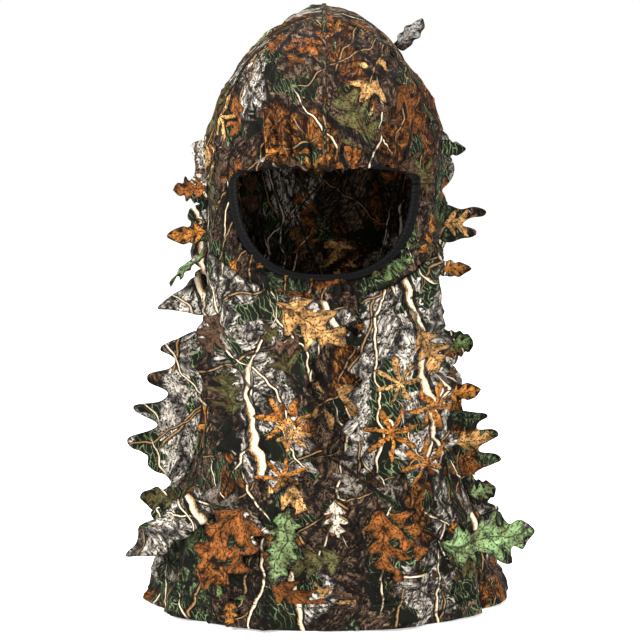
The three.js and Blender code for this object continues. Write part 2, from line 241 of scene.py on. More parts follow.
def crease(points, size, seed, width=0.12):
    """1 along crooked lines, 0 away from them."""
    return np.exp(-((ripple(points, size, seed) / width) ** 2))


def pleats(near, spacing, sway):
    """Rounded ridges with sharp valleys between them, from -1 to 1, round the opening."""
    count = round(EDGE_ROUND / spacing)
    phase = math.pi * count * EDGE_SHARE[near] + sway
    return 2 * np.abs(np.sin(phase)) ** 0.55 - 1


def pinch(near, sway):
    """The close pleats that the elastic pulls the cloth into, with finer ones on them."""
    return 2.7 * pleats(near, 5.2, 1.5 * sway) + 1.2 * pleats(near, 3.4, sway)


ROOTS = np.array([j["pos_m"] for j in frame["joints"] if "drape" not in j["name"]]) / MM


def gathers(turn, down):
    """How far the pleats round the opening lift the cloth at each point."""
    lift = np.zeros(len(turn))
    front = np.cos(turn) > 0
    if front.any():
        f = skin(turn[front], down[front])
        gap, at = from_opening(f[:, 0], down[front])
        ring = np.concatenate([EDGE[at], gap[:, None] * 0.4], 1)
        sway = 0.9 * ripple(ring, 60, 8)
        loose = pleats(at, 15, 1.8 * sway)
        strength = 0.7 + 0.4 * ripple(ring, 45, 9)
        beside = np.abs(EDGE[at][:, 0]) / OPENING_SIDE
        strength *= 1.15 - 0.75 * smooth(beside, 0.75, 1.0)
        lift[front] = strength * (
            pinch(at, sway) * np.exp(-((gap / 19) ** 2))
            + 2.6 * loose * np.exp(-(((gap - 20) / 24) ** 2))
        )
    return lift


def paint_shade(mesh, depth):
    """Painted shade, 0 to 1, at each point: the print darkens there like the shadow in a fold
    valley or along a cut edge.
    """
    layer = mesh.attributes.new("fold_depth", "FLOAT", "POINT")
    layer.data.foreach_set("value", np.clip(depth, 0, 1).astype(np.float32))


def hang(turn, down):
    """How far the hood's cloth stands off its plain form at each point."""
    p = skin(turn, down)
    lying = p * [1, 1, 0.3]  # long folds run down the cape
    cape = smooth(down, 230, 420)
    out = 1.8 * ripple(p, 85, 1) + 1.0 * ripple(p, 34, 2) + 0.4 * ripple(p, 14, 3)
    out += cape * (3.4 * ripple(lying, 46, 4) + 1.5 * ripple(lying, 20, 5))
    out -= 1.6 * crease(p, 75, 6) + 1.2 * crease(p, 52, 7) * (0.5 + cape)
    out += 0.9 * crease(p * [1, 1, 1.6], 40, 11, 0.2)
    # A sewn leaf holds the cloth to its root.
    for root in ROOTS:
        out *= 1 - 0.85 * np.exp(-(((p - root) ** 2).sum(1)) / 12**2)
    return out + gathers(turn, down)


# %% [markdown]
# ## Making a piece of cloth
# A grid from bmesh is laid on the hood point by point. It carries two maps. The cloth map is
# the flat cloth in metres, for the background of the print. The motif map gives each face the
# place it has inside its own printed leaf, so one leaf pattern in the material can print
# hundreds of leaves, each turned, sized and coloured as we like.

# %% Making a piece of cloth
CLOTH = 0.8  # thickness, mm
made = []


def srgb(code):
    """A colour written as six hex digits, as the linear values a shader uses."""
    parts = [int(code[i : i + 2], 16) / 255 for i in (0, 2, 4)]
    return [c / 12.92 if c <= 0.04045 else ((c + 0.055) / 1.055) ** 2.4 for c in parts]


RUST, TAN, ORANGE = srgb("7d4a22"), srgb("ad8350"), srgb("a56a2e")
GREEN, SAGE, OLIVE = srgb("56693f"), srgb("728a5c"), srgb("4e4c2d")
BROWN, GREY, CREAM = srgb("4f3c2f"), srgb("7c756b"), srgb("cfc2ab")
OAK, STAR = 0.0, 1.0


def corner_map(mesh, name, values):
    layer = mesh.uv_layers.new(name=name)
    layer.data.foreach_set("uv", np.asarray(values, np.float32).ravel())


def leaf_inside(x, y, kind):
    """How far inside its printed leaf a point lies, the leaf running from x = 0 to x = 1."""
    if kind == STAR:
        petal = np.abs(np.cos(3.5 * np.arctan2(y, x - 0.5))) ** 3
        return 0.06 + 0.42 * petal - np.hypot(x - 0.5, y)
    swell = np.sin(math.pi * np.clip(x, 0, 1)) ** 0.7
    lobes = 0.62 - 0.38 * np.cos(2 * math.pi * 3.4 * (x - 0.55 * np.abs(y)))
    return 0.34 * swell * lobes - np.abs(y)


def print_leaves(mesh, leaves):
    """Writes the motif map: each face belongs to the topmost printed leaf that covers it.
    A leaf is its root (x, y) on the cloth map in metres, heading, length, kind and colour."""
    loops, faces = len(mesh.loops), len(mesh.polygons)
    index = np.empty(loops, int)
    mesh.loops.foreach_get("vertex_index", index)
    count = np.empty(faces, int)
    mesh.polygons.foreach_get("loop_total", count)
    face_of = np.repeat(np.arange(faces), count)
    uv = np.empty(loops * 2, np.float32)
    mesh.uv_layers["cloth"].data.foreach_get("uv", uv)
    uv = uv.reshape(-1, 2).astype(float)
    centre = np.stack([np.bincount(face_of, uv[:, i]) / count for i in (0, 1)], -1)
    motif = np.full((loops, 2), -4.0)
    tint = np.zeros((loops, 4))
    for x, y, heading, length, kind, colour in leaves:
        c, s = math.cos(heading), math.sin(heading)
        turned = np.array([[c, -s], [s, c]]) / length

        def local(places):
            return (places - [x, y]) @ turned

        mine = (leaf_inside(*local(centre).T, kind) > -0.08)[face_of]
        motif[mine] = local(uv[mine])
        tint[mine] = [*colour, kind]
    corner_map(mesh, "motif", motif)
    attribute = mesh.attributes.new("tint", "FLOAT_COLOR", "CORNER")
    attribute.data.foreach_set("color", tint.astype(np.float32).ravel())


def scatter(seed, low, high, spacing, size=(0.03, 0.06), tints=None):
    """Leaves strewn over a rectangle of cloth, about spacing apart, some of them stars."""
    rng = np.random.default_rng(seed)
    tints = tints or [RUST, RUST, ORANGE, TAN, GREEN, OLIVE, BROWN, GREY]
    found = []
    for cx in np.arange(low[0], high[0], spacing):
        for cy in np.arange(low[1], high[1], spacing):
            x, y = cx + rng.uniform(0, spacing), cy + rng.uniform(0, spacing)
            kind = STAR if rng.random() < 0.3 else OAK
            length = rng.uniform(*size) * (0.8 if kind else 1)
            heading = rng.uniform(0, 2 * math.pi)
            colour = np.array(tints[rng.integers(len(tints))]) * rng.uniform(0.7, 1.25)
            found.append((x, y, heading, length, kind, colour))
    rng.shuffle(found)
    return [tuple(f) for f in found]


def cloth_piece(name, mesh, uv, leaves, body, thick=CLOTH, stitches=None):
    """Finishes a cloth mesh in millimetres: maps, print, thickness, and the body it rides."""
    index = np.empty(len(mesh.loops), int)
    mesh.loops.foreach_get("vertex_index", index)
    corner_map(mesh, "cloth", uv[index])
    stitches = np.tile([0.0, 1.0], (len(mesh.vertices), 1)) if stitches is None else stitches
    corner_map(mesh, "stitch", stitches[index])
    print_leaves(mesh, leaves)
    mesh.transform(Matrix.Scale(MM, 4))
    obj = bpy.data.objects.new(name, mesh)
    bpy.context.scene.collection.objects.link(obj)
    wall = obj.modifiers.new("wall", "SOLIDIFY")
    wall.thickness = thick * MM
    wall.offset = -1
    mesh.polygons.foreach_set("use_smooth", [True] * len(mesh.polygons))
    if body:
        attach(obj, body)
    made.append(obj)
    return obj


# %% [markdown]
# ## Shader arithmetic
# A print is arithmetic on cloth coordinates: where is this point, is it inside a leaf, how far
# is the nearest twig. Writing that as Python expressions is far easier to read than a picture
# of a hundred nodes, so a small class makes a Math node for each operator.


# %% Shader arithmetic
class Value:
    """One number in a shader. Python's operators on it make Math nodes."""

    def __init__(self, shader, socket):
        self.shader, self.socket = shader, socket

    def math(self, operation, *others):
        made_node = self.shader.node("ShaderNodeMath", {"operation": operation}, [self, *others])
        return Value(self.shader, made_node.outputs[0])

    def __add__(self, other):
        return self.math("ADD", other)

    def __sub__(self, other):
        return self.math("SUBTRACT", other)

    def __rsub__(self, other):
        return self.math("MULTIPLY_ADD", -1.0, other)

    def __mul__(self, other):
        return self.math("MULTIPLY", other)

    def __truediv__(self, other):
        return self.math("DIVIDE", other)

    def __pow__(self, other):
        return self.math("POWER", other)

    def __lt__(self, other):
        return self.math("LESS_THAN", other)

    def __gt__(self, other):
        return self.math("GREATER_THAN", other)

    __radd__ = __add__
    __rmul__ = __mul__

    def abs(self):
        return self.math("ABSOLUTE")

    def cos(self):
        return self.math("COSINE")

    def step(self, low, high):
        """0 below low, 1 above high, smooth between them. high may be below low."""
        settings = {"interpolation_type": "SMOOTHSTEP"}
        values = [self, min(low, high), max(low, high)]
        values += [0.0, 1.0] if low < high else [1.0, 0.0]
        made_node = self.shader.node("ShaderNodeMapRange", settings, values)
        return Value(self.shader, made_node.outputs[0])


class Shader:
    """A material being made."""

    def __init__(self, name):
        self.material = bpy.data.materials.new(name)
        self.material.use_nodes = True
        self.tree = self.material.node_tree
        self.surface = self.tree.nodes["Principled BSDF"]

    def node(self, kind, settings=None, inputs=None):
        """A node of any kind: its settings first, then its sockets by order or by name."""
        new = self.tree.nodes.new(kind)
        for key, value in (settings or {}).items():
            setattr(new, key, value)
        pairs = inputs.items() if isinstance(inputs, dict) else enumerate(inputs or [])
        for key, value in pairs:
            self.feed(new.inputs[key], value)
        return new

    def feed(self, socket, value):
        if isinstance(value, Value):
            value = value.socket
        if isinstance(value, bpy.types.NodeSocket):
            self.tree.links.new(value, socket)
        elif value is not None:
            socket.default_value = value

    def split(self, vector):
        parts = self.node("ShaderNodeSeparateXYZ", None, [vector])
        return [Value(self, out) for out in parts.outputs]

    def join(self, x, y, z=0.0):
        return self.node("ShaderNodeCombineXYZ", None, [x, y, z]).outputs[0]

    def noise(self, vector, scale, detail=2.0, rough=0.5):
        made_node = self.node(
            "ShaderNodeTexNoise",
            {"noise_dimensions": "2D"},
            {"Vector": vector, "Scale": scale, "Detail": detail, "Roughness": rough},
        )
        return Value(self, made_node.outputs[0])

    def blend(self, factor, a, b, how="MIX"):
        """Colour a where factor is 0 and b where it is 1."""
        mix = self.node("ShaderNodeMix", {"data_type": "RGBA", "blend_type": how})
        for key, value in ((0, factor), (6, a), (7, b)):
            if isinstance(value, (list, tuple)) and len(value) == 3:
                value = [*value, 1.0]
            self.feed(mix.inputs[key], value)
        return mix.outputs[2]

    def ramp(self, value, stops):
        """A colour ramp with (place, colour) stops."""
        made_node = self.node("ShaderNodeValToRGB", None, [value])
        elements = made_node.color_ramp.elements
        while len(elements) < len(stops):
            elements.new(0.5)
        for element, (place, colour) in zip(elements, stops):
            element.position, element.color = place, [*colour, 1.0]
        return made_node.outputs[0]

    def map(self, name):
        return self.node("ShaderNodeUVMap", {"uv_map": name}).outputs[0]


# %% [markdown]
# ## The woodland print
# The print is laid down as the cloth printer does: bark and dark gaps first, then grass, then
# twigs, then leaves with dark edges. The bark is cells of a Voronoi pattern, pulled long and
# bent, and each cell picks its own colour and grain. A twig is a thin band round a wavy line,
# shaded across like a rod, and broken off where another noise says so. A leaf is a half width
# that swells and is notched into lobes, measured against the distance from its midrib. Fine
# yarn texture goes into bump and a little into colour.


# %% Bark, grass and twigs
DARK = srgb("0c0a09")


def ramp_of(*codes):
    """Stops for a ramp, from the deepest fissure to the lightest ridge."""
    places = (0.34, 0.43, 0.495, 0.555, 0.65)
    return [(place, srgb(code)) for place, code in zip(places, codes)]


BROWN_BARK = ramp_of("090706", "1b130e", "3a2c22", "5d493a", "8d745c")
PALE_BARK = ramp_of("0e0c0b", "2c2723", "6c645b", "a59c90", "e2dacd")
RUST_BARK = ramp_of("0f0906", "2d190c", "5a3417", "7f4e22", "ab763c")
MOSS_BARK = ramp_of("080906", "141810", "2b3120", "4c5839", "82906a")


def bark_colour(sh, cloth, x, y, mix):
    """Overlapping slabs of bark, each with its own grain and colour, dark along their edges."""
    place = sh.join(x * 36.0, y * 19.0)
    slab = sh.node(
        "ShaderNodeTexVoronoi", {"voronoi_dimensions": "2D"}, {"Vector": place, "Scale": 1.0}
    )
    rim = sh.node(
        "ShaderNodeTexVoronoi",
        {"voronoi_dimensions": "2D", "feature": "DISTANCE_TO_EDGE"},
        {"Vector": place, "Scale": 1.0},
    )
    lean, pick, light = sh.split(slab.outputs["Color"])
    angle = (lean - 0.5) * 1.7
    c, s = angle.cos(), angle.math("SINE")
    along, over = y * c - x * s, x * c + y * s
    grain = sh.noise(sh.join(over * 560.0 + pick * 90.0, along * 95.0), 1.0, 5.0, 0.66)
    mottle = sh.noise(cloth, 240.0, 5.0, 0.75)
    tone = grain * 0.55 + mottle * 0.45 + (light - 0.5) * 0.07
    brown, pale, rust = mix
    colour = sh.ramp(tone, BROWN_BARK)
    colour = sh.blend(pick > brown, colour, sh.ramp(tone + 0.02, PALE_BARK))
    colour = sh.blend(pick > pale, colour, sh.ramp(tone, RUST_BARK))
    colour = sh.blend(pick > rust, colour, sh.ramp(tone, MOSS_BARK))
    crooked = sh.noise(sh.join(over * 230.0, along * 40.0 + 5.0), 1.0, 2.0)
    cracks = (crooked - 0.5).abs().step(0.02, 0.0)
    colour = sh.blend(cracks * 0.75, colour, DARK)
    pits = sh.noise(sh.join(over * 430.0, along * 270.0), 1.0, 3.0, 0.6).step(0.575, 0.63)
    colour = sh.blend(pits * 0.85, colour, DARK)
    edge = Value(sh, rim.outputs["Distance"]) + (mottle - 0.5) * 0.12
    return sh.blend(edge.step(0.13, 0.01) * 0.85, colour, DARK)


# Stops across a twig, from its lit middle to its dark edge.
BIRCH_TWIG = [
    (0.0, srgb("e8dec9")), (0.42, srgb("c4b08d")), (0.72, srgb("87623c")), (1.0, srgb("22170f")),
]
BROWN_TWIG = [
    (0.0, srgb("a08258")), (0.45, srgb("6b4f33")), (0.8, srgb("35271a")), (1.0, srgb("100b08")),
]


def twigs(sh, cloth, under, angle, spacing, thick, seed, paint, rare, run):
    """Twigs over the colours under them, along one direction, each shaded like a rod."""
    c, s = math.cos(angle), math.sin(angle)
    x, y, _ = sh.split(cloth)
    along, over = x * c + y * s, y * c - x * s
    bend = sh.noise(sh.join(along * 17.0 + seed, over * 6.0), 1.0, 3.0)
    lines = (over + bend * 0.034) / spacing
    row = lines.math("FLOOR")
    gap = (lines - row - 0.5) * spacing
    grows = sh.noise(sh.join(along * run + seed * 2, row * 9.1 + seed), 1.0, 1.0)
    there = grows.step(rare, rare + 0.07)
    width = thick * (0.3 + sh.noise(sh.join(along * 30.0 + seed, row * 3.7), 1.0) * 1.1) * there
    shade = gap / (width + 0.00001)
    marks = sh.noise(sh.join(along * 420.0, over * 1500.0), 1.0, 3.0)
    skin_tone = sh.ramp((shade + 0.35).abs() * 0.75 + (marks - 0.5) * 1.1, paint)
    dark = sh.blend((shade.abs() < 1.9) * there * 0.9, under, DARK)
    return sh.blend((shade.abs() < 1.0) * there, dark, skin_tone)


def leaf_shape(x, y, kind):
    """How far inside a printed leaf a point lies. The leaf runs from x = 0 to x = 1."""
    beside = y.abs()
    swell = ((x.math("MAXIMUM", 0.0) * math.pi).math("MINIMUM", math.pi)).math("SINE") ** 0.7
    lobes = 0.62 + ((x - beside * 0.55) * (2 * math.pi * 3.4)).cos() * -0.38
    oak = swell * lobes * 0.34 - beside + 0.012 * (x > 0.0) * (x < 1.0)
    dx = x - 0.5
    turn = y.math("ARCTAN2", dx)
    reach = (dx * dx + y * y) ** 0.5
    petal = (turn * 3.5).cos().abs() ** 3.0
    star = 0.06 + petal * 0.42 - reach
    return oak + (star - oak) * kind


print("print helpers ready")


# %% [markdown]
# ## One material for every printed cloth
# All the cloth is cut from the same printed roll, so one function makes the material. What
# changes is where on the roll a piece is cut, and how much birch or brown bark shows there. A
# single shared material would be shorter, but then every panel would show the same part of
# the print.


# %% The print material
def camo_print(name, shift, mix, gloom=0.45, birch_rare=0.55, trunk=0.0023):
    """mix is how the bark slabs share out: up to brown, up to pale, up to rust, then moss."""
    sh = Shader(name)
    place = sh.node(
        "ShaderNodeVectorMath", {"operation": "ADD"}, [sh.map("cloth"), shift]
    ).outputs[0]
    warp = sh.node(
        "ShaderNodeTexNoise",
        {"noise_dimensions": "2D"},
        {"Vector": place, "Scale": 42.0, "Detail": 4.0},
    )
    offset = sh.node("ShaderNodeVectorMath", {"operation": "SCALE"}, {0: warp.outputs[1], 3: 0.016})
    cloth = sh.node(
        "ShaderNodeVectorMath", {"operation": "ADD"}, [place, offset.outputs[0]]
    ).outputs[0]
    x, y, _ = sh.split(cloth)
    colour = bark_colour(sh, cloth, x, y, mix)
    speck = sh.node(
        "ShaderNodeTexVoronoi", {"voronoi_dimensions": "2D"}, {"Vector": place, "Scale": 330.0}
    )
    specks = (Value(sh, speck.outputs["Distance"]) + sh.noise(place, 900.0) * 0.2).step(0.36, 0.3)
    colour = sh.blend(specks * sh.noise(place, 60.0, 2.0).step(0.44, 0.52) * 0.9, colour, DARK)

    # Dark gaps between the slabs, with grass growing in them.
    gaps = sh.noise(cloth, 30.0, 4.0, 0.6).step(gloom, gloom - 0.03)
    blades = sh.node(
        "ShaderNodeTexVoronoi",
        {"voronoi_dimensions": "2D", "feature": "DISTANCE_TO_EDGE"},
        {"Vector": sh.join(x * 330.0 + y * 150.0, y * 75.0 - x * 30.0), "Scale": 1.0},
    )
    blade = Value(sh, blades.outputs[0]).step(0.075, 0.02)
    mossy = sh.noise(cloth, 24.0, 1.0)
    ground = sh.blend(mossy, DARK, srgb("1b2115"))
    grass = sh.blend(sh.noise(place, 120.0), srgb("39432b"), srgb("8a9c6e"))
    ground = sh.blend(blade * mossy.step(0.4, 0.5), ground, grass)
    colour = sh.blend(gaps, colour, ground)

    # Twigs: direction, spacing, thickness, seed, paint, how rare, and how short they run.
    for twig in (
        (1.2, 0.031, 0.0011, 3.0, BROWN_TWIG, 0.5, 9.0),
        (0.5, 0.041, 0.0009, 23.0, BROWN_TWIG, 0.53, 9.0),
        (-0.9, 0.047, 0.001, 11.0, BIRCH_TWIG, birch_rare, 9.0),
        (2.05, 0.037, 0.0008, 31.0, BIRCH_TWIG, birch_rare, 9.0),
        (1.45, 0.04, 0.0011, 47.0, BIRCH_TWIG, birch_rare, 5.0),
        (1.75, 0.058, trunk, 37.0, BIRCH_TWIG, birch_rare, 5.0),
    ):
        colour = twigs(sh, place, colour, *twig)

    # Leaves: a dark rim, a mottled blade with spots, and dark veins with a light side.
    uneven = sh.node(
        "ShaderNodeTexNoise",
        {"noise_dimensions": "2D"},
        {"Vector": place, "Scale": 50.0, "Detail": 2.0},
    )
    moved = sh.node(
        "ShaderNodeVectorMath", {"operation": "MULTIPLY_ADD"},
        [uneven.outputs[1], (0.2, 0.2, 0.0), sh.map("motif")],
    )
    u, v, _ = sh.split(moved.outputs[0])
    u, v = u - 0.1, v - 0.1
    ragged = (sh.noise(place, 480.0, 2.0) - 0.5) * 0.04
    paint = sh.node("ShaderNodeAttribute", {"attribute_name": "tint"})
    kind = Value(sh, paint.outputs["Alpha"])
    inside = leaf_shape(u, v, kind) + ragged
    beside = v.abs()
    rib = (beside - (0.004 + 0.008 * (1.0 - u))) < 0.0
    side_ribs = ((u - beside * 0.9) * 7.0).math("FRACT") - 0.5
    ribs = (rib + (side_ribs.abs() < 0.05) * (beside < 0.24)) > 0.0
    lit = side_ribs.step(-0.5, 0.5)
    mottle = sh.noise(place, 130.0, 5.0, 0.7)
    patch = sh.noise(place, 55.0, 2.0).step(0.42, 0.6)
    light = (mottle - 0.5) * 5.0 + 0.85 + lit * 0.4
    blade_colour = sh.node(
        "ShaderNodeVectorMath", {"operation": "SCALE"},
        {0: paint.outputs["Color"], 3: light.math("MAXIMUM", 0.12)},
    ).outputs[0]
    blade_colour = sh.blend(patch * 0.35, blade_colour, srgb("4a3018"))
    blade_colour = sh.blend(inside.step(0.06, 0.0) * 0.6, blade_colour, srgb("1d120a"))
    blade_colour = sh.blend(specks * 0.75, blade_colour, srgb("17100b"))
    blade_colour = sh.blend(ribs * 0.75, blade_colour, srgb("1d1208"))
    colour = sh.blend(inside.step(-0.05, -0.015) * 0.85, colour, DARK)
    colour = sh.blend(inside > 0.0, colour, blade_colour)

    # Painted shade: the print darkens towards black in fold valleys and along cut edges. Then yarn,
    # and a row of thread where the piece is stitched.
    depth = sh.node("ShaderNodeAttribute", {"attribute_name": "fold_depth"})
    colour = sh.blend(Value(sh, depth.outputs["Fac"]) * 0.85, colour, DARK)
    yarn = sh.noise(sh.join(x, y * 3.0), 1300.0, 2.0)
    colour = sh.blend(0.35 * yarn, colour, srgb("5a564e"), "MULTIPLY")
    s, t, _ = sh.split(sh.map("stitch"))
    thread = (t.abs() < 0.00035) * ((s / 0.0028).math("FRACT") < 0.68)
    colour = sh.blend(thread, colour, srgb("2b2620"))

    surface = sh.surface
    sh.feed(surface.inputs["Base Color"], colour)
    sh.feed(surface.inputs["Roughness"], 0.66 + 0.24 * yarn)
    surface.inputs["Specular IOR Level"].default_value = 0.06
    crumple = sh.noise(place, 95.0, 3.0, 0.55)
    height = yarn * 0.12 + crumple * 0.9 + thread * 0.35
    bump = sh.node("ShaderNodeBump", None, {"Strength": 0.5, "Distance": 0.002, "Height": height})
    sh.feed(surface.inputs["Normal"], bump.outputs[0])
    print(name, "has", len(sh.tree.nodes), "nodes")
    return sh.material


PRINT = camo_print("camo_print", (0.31, 0.47, 0.0), (0.42, 0.6, 0.8))
BROW_PRINT = camo_print("camo_print_brow", (0.62, 1.27, 0.0), (0.5, 0.58, 0.84), 0.44, 0.62)
CAPE_PRINT = camo_print("camo_print_cape", (1.1, 0.6, 0.0), (0.68, 0.76, 0.88), 0.47, 0.6)
SEAM_PRINT = camo_print("camo_print_seam", (0.2, 0.9, 0.0), (0.93, 0.94, 0.97), 0.5, 0.9)


# %% [markdown]
# ## The panels
# Seven pieces of cloth make the hood: two over the forehead, two behind the arch seam from crown
# to neck, two for the cape's back, and one large front below the face. Each is a grid laid
# between its seams. Rows are spaced by length of cloth, not by height, so the dome's rows don't
# bunch up at the crown.


# %% Laying cloth on the hood
def points_of(mesh):
    co = np.empty(len(mesh.vertices) * 3, np.float32)
    mesh.vertices.foreach_get("co", co)
    return co.reshape(-1, 3).astype(float)


def grid(name, columns, rows):
    """A flat grid, and how far across and along it each point lies, from 0 to 1."""
    bm = bmesh.new()
    bmesh.ops.create_grid(bm, x_segments=columns, y_segments=rows, size=0.5)
    mesh = bpy.data.meshes.new(name)
    bm.to_mesh(mesh)
    bm.free()
    place = points_of(mesh) + 0.5
    return mesh, place[:, 0], place[:, 1]


def lay(mesh, points):
    """Moves the mesh to its points in millimetres, and turns its faces outwards."""
    mesh.vertices.foreach_set("co", points.astype(np.float32).ravel())
    mesh.update()
    normal = np.array([f.normal[:2] for f in mesh.polygons])
    centre = np.array([f.center[:2] for f in mesh.polygons])
    if (normal * centre).sum() < 0:
        mesh.flip_normals()


def rows_of(share, start, stop):
    """Distance down from the crown, evenly along the cloth between two levels."""
    a, b = np.interp([start, stop], ARC_DOWN, ARC_LENGTH)
    return np.interp(a + (b - a) * share, ARC_LENGTH, ARC_DOWN)


def panel(name, node, mesh, turn, down, middle, leaves, cloth=PRINT):
    lay(mesh, skin(turn, down, hang(turn, down)))
    seam = np.stack([0 * turn, 0 * down + 1], -1)
    uv = cloth_uv(turn, down, middle)
    # Painted shade in the valleys of the pleats round the opening.
    paint_shade(mesh, smooth(-gathers(turn, down), -0.6, 2.8))
    obj = cloth_piece(name, mesh, uv, leaves, "hood", stitches=seam)
    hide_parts(node)
    obj.data.materials.append(cloth)


SIDES = {"left": -1, "right": 1}
print("crown to neck: %.0f mm of cloth" % np.interp(NECK_DOWN, ARC_DOWN, ARC_LENGTH))

# %% [markdown]
# ## Hood and cape panels
# Behind the seam that runs over the head from ear to ear, one panel a side reaches down to the
# neck, and another makes the cape. Each grid runs from the arch seam to the back seam. A left
# and a right piece come from one loop, so they match as two cut pieces do.

# %% Behind the arch seam
BEHIND = math.pi * 0.6  # the turn at these panels' middle line
for word, side in SIDES.items():
    mesh, s, t = grid("hood_cloth_" + word, 110, 130)
    down = rows_of(t, 0.02, NECK_DOWN)
    first = arch_turn(down)
    turn = side * (first + (math.pi - first) * s)
    leaves = scatter(10 + side, (-0.18, -0.36), (0.18, 0.0), 0.045)
    panel("hood_cloth_" + word, "hood_panel_" + word, mesh, turn, down, side * BEHIND, leaves)

    mesh, s, t = grid("cape_cloth_" + word, 90, 100)
    down = rows_of(t, NECK_DOWN, HEM_TOP)
    first = arch_turn(down)
    turn = side * (first + (math.pi - first) * s)
    leaves = scatter(20 + side, (-0.2, -0.6), (0.2, -0.3), 0.05)
    name, node = "cape_cloth_" + word, "cape_panel_" + word
    panel(name, node, mesh, turn, down, side * BEHIND, leaves, CAPE_PRINT)
print(len(made), "pieces")

# %% [markdown]
# ## The forehead
# Two small panels meet in a centre seam and end above the eyes. Their lower edge follows the
# opening, so the rows are squeezed towards it. The grid is fine, because the pleats above the
# elastic are only a few millimetres apart.

# %% The forehead
BROW_DOWN = 119  # where the forehead's lower edge meets the arch seam
MARGIN = 6.0  # the panels stop this far outside the opening, under the casing
PEAK_DOWN = float(np.interp(ARCH_FRONT, section(ARC_DOWN)[1][:50], ARC_DOWN[:50]))
BROW_X = np.linspace(0, 90, 400)
grown = np.clip(BROW_X / (OPENING_SIDE + MARGIN), 0, 1) ** (1 / 0.8)
BROW_EDGE = OPENING_DOWN - (OPENING_RISE + MARGIN) * (1 - grown**2) ** 0.31
BROW_EDGE = np.minimum(BROW_EDGE, BROW_DOWN)


def brow_level(share):
    """How far down the forehead's lower edge is, at a share of the way out to the arch seam."""
    down = np.full_like(share, BROW_DOWN, float)
    for _ in range(4):
        x = section(down)[0] * np.sin(share * arch_turn(down))
        down = np.interp(x, BROW_X, BROW_EDGE)
    return down


for word, side in SIDES.items():
    mesh, s, t = grid("forehead_cloth_" + word, 150, 100)
    down = rows_of(1 - t, PEAK_DOWN + 0.02, BROW_DOWN)
    low = brow_level(s)
    down = PEAK_DOWN + 0.02 + (down - PEAK_DOWN) * (low - PEAK_DOWN) / (BROW_DOWN - PEAK_DOWN)
    turn = side * s * arch_turn(down)
    leaves = scatter(30 + side, (-0.12, -0.24), (0.12, -0.02), 0.04)
    name = "forehead_cloth_" + word
    panel(name, "forehead_panel_" + word, mesh, turn, down, 0.0, leaves, BROW_PRINT)
print("the peak lies", round(PEAK_DOWN), "mm down")

# %% [markdown]
# ## The front
# One large panel hangs from the lower half of the opening to the hem. Its top row follows the
# opening's curve by length, and its lower rows spread evenly between the arch seams.

# %% The front, from face to cape
ARCH_X = 81.3  # how far out the arch seam lies at the level of the brow
mesh, s, t = grid("front_cloth", 250, 180)
angle = np.linspace(math.pi, 2 * math.pi, 2001)
rim_x, rim_down = opening_edge(angle, MARGIN)
rim_x = np.concatenate([[-ARCH_X], rim_x, [ARCH_X]])
rim_down = np.concatenate([[BROW_DOWN], rim_down, [BROW_DOWN]])
steps = np.hypot(np.diff(rim_x), np.diff(rim_down))
rim_at = np.concatenate([[0], np.cumsum(steps)]) / steps.sum()
top_x, top_down = np.interp(s, rim_at, rim_x), np.interp(s, rim_at, rim_down)
top_share = np.arcsin(np.clip(top_x / section(top_down)[0], -1, 1)) / arch_turn(top_down)
down = top_down + (HEM_TOP - top_down) * t
share = top_share + (2 * s - 1 - top_share) * smooth(t, 0, 0.6)
turn = share * arch_turn(down)
leaves = scatter(40, (-0.16, -0.56), (0.16, -0.16), 0.045)
panel("front_cloth", "front_panel", mesh, turn, down, 0.0, leaves, CAPE_PRINT)
print("front:", len(mesh.polygons), "faces")

# %% [markdown]
# ## The hem
# The cape's edge is turned under and sewn with a row of stitches. A fatter, rounded band with a
# thread line along its top reads as that fold. It runs round in two lengths, as the frame has it.


# %% The hem
def hem(name, node, first, last, columns):
    mesh, s, t = grid(name, columns, 16)
    down = HEM_TOP + 19.6 * t
    turn = first(down) + (last(down) - first(down)) * s
    roll = np.sin(math.pi * np.clip(t, 0, 1)) ** 0.6
    puckers = 0.35 * ripple(skin(turn, 0 * down + 440), 9, 50) * roll
    out = hang(turn, down) + 0.9 * roll + puckers
    lay(mesh, skin(turn, down, out))
    uv = cloth_uv(turn, down, 0.0)
    stitches = np.stack([uv[:, 0], (t - 0.12) * 0.0196], -1)
    leaves = scatter(60 + columns, (-0.4, -0.62), (0.4, -0.5), 0.06)
    obj = cloth_piece(name, mesh, uv, leaves, "hood", 1.7, stitches)
    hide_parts(node)
    obj.data.materials.append(CAPE_PRINT)


hem("hem_fold_front", "hem_front", lambda d: -arch_turn(d), arch_turn, 200)
hem("hem_fold_back", "hem_back", arch_turn, lambda d: 2 * math.pi - arch_turn(d), 240)
print(len(made), "pieces")

# %% [markdown]
# ## Seams
# Where two panels meet, the seam makes a narrow raised ridge with a stitch line each side. Each
# seam is a strip of cloth laid along its line.


# %% Seams
SEAM_WIDTH = 3.6


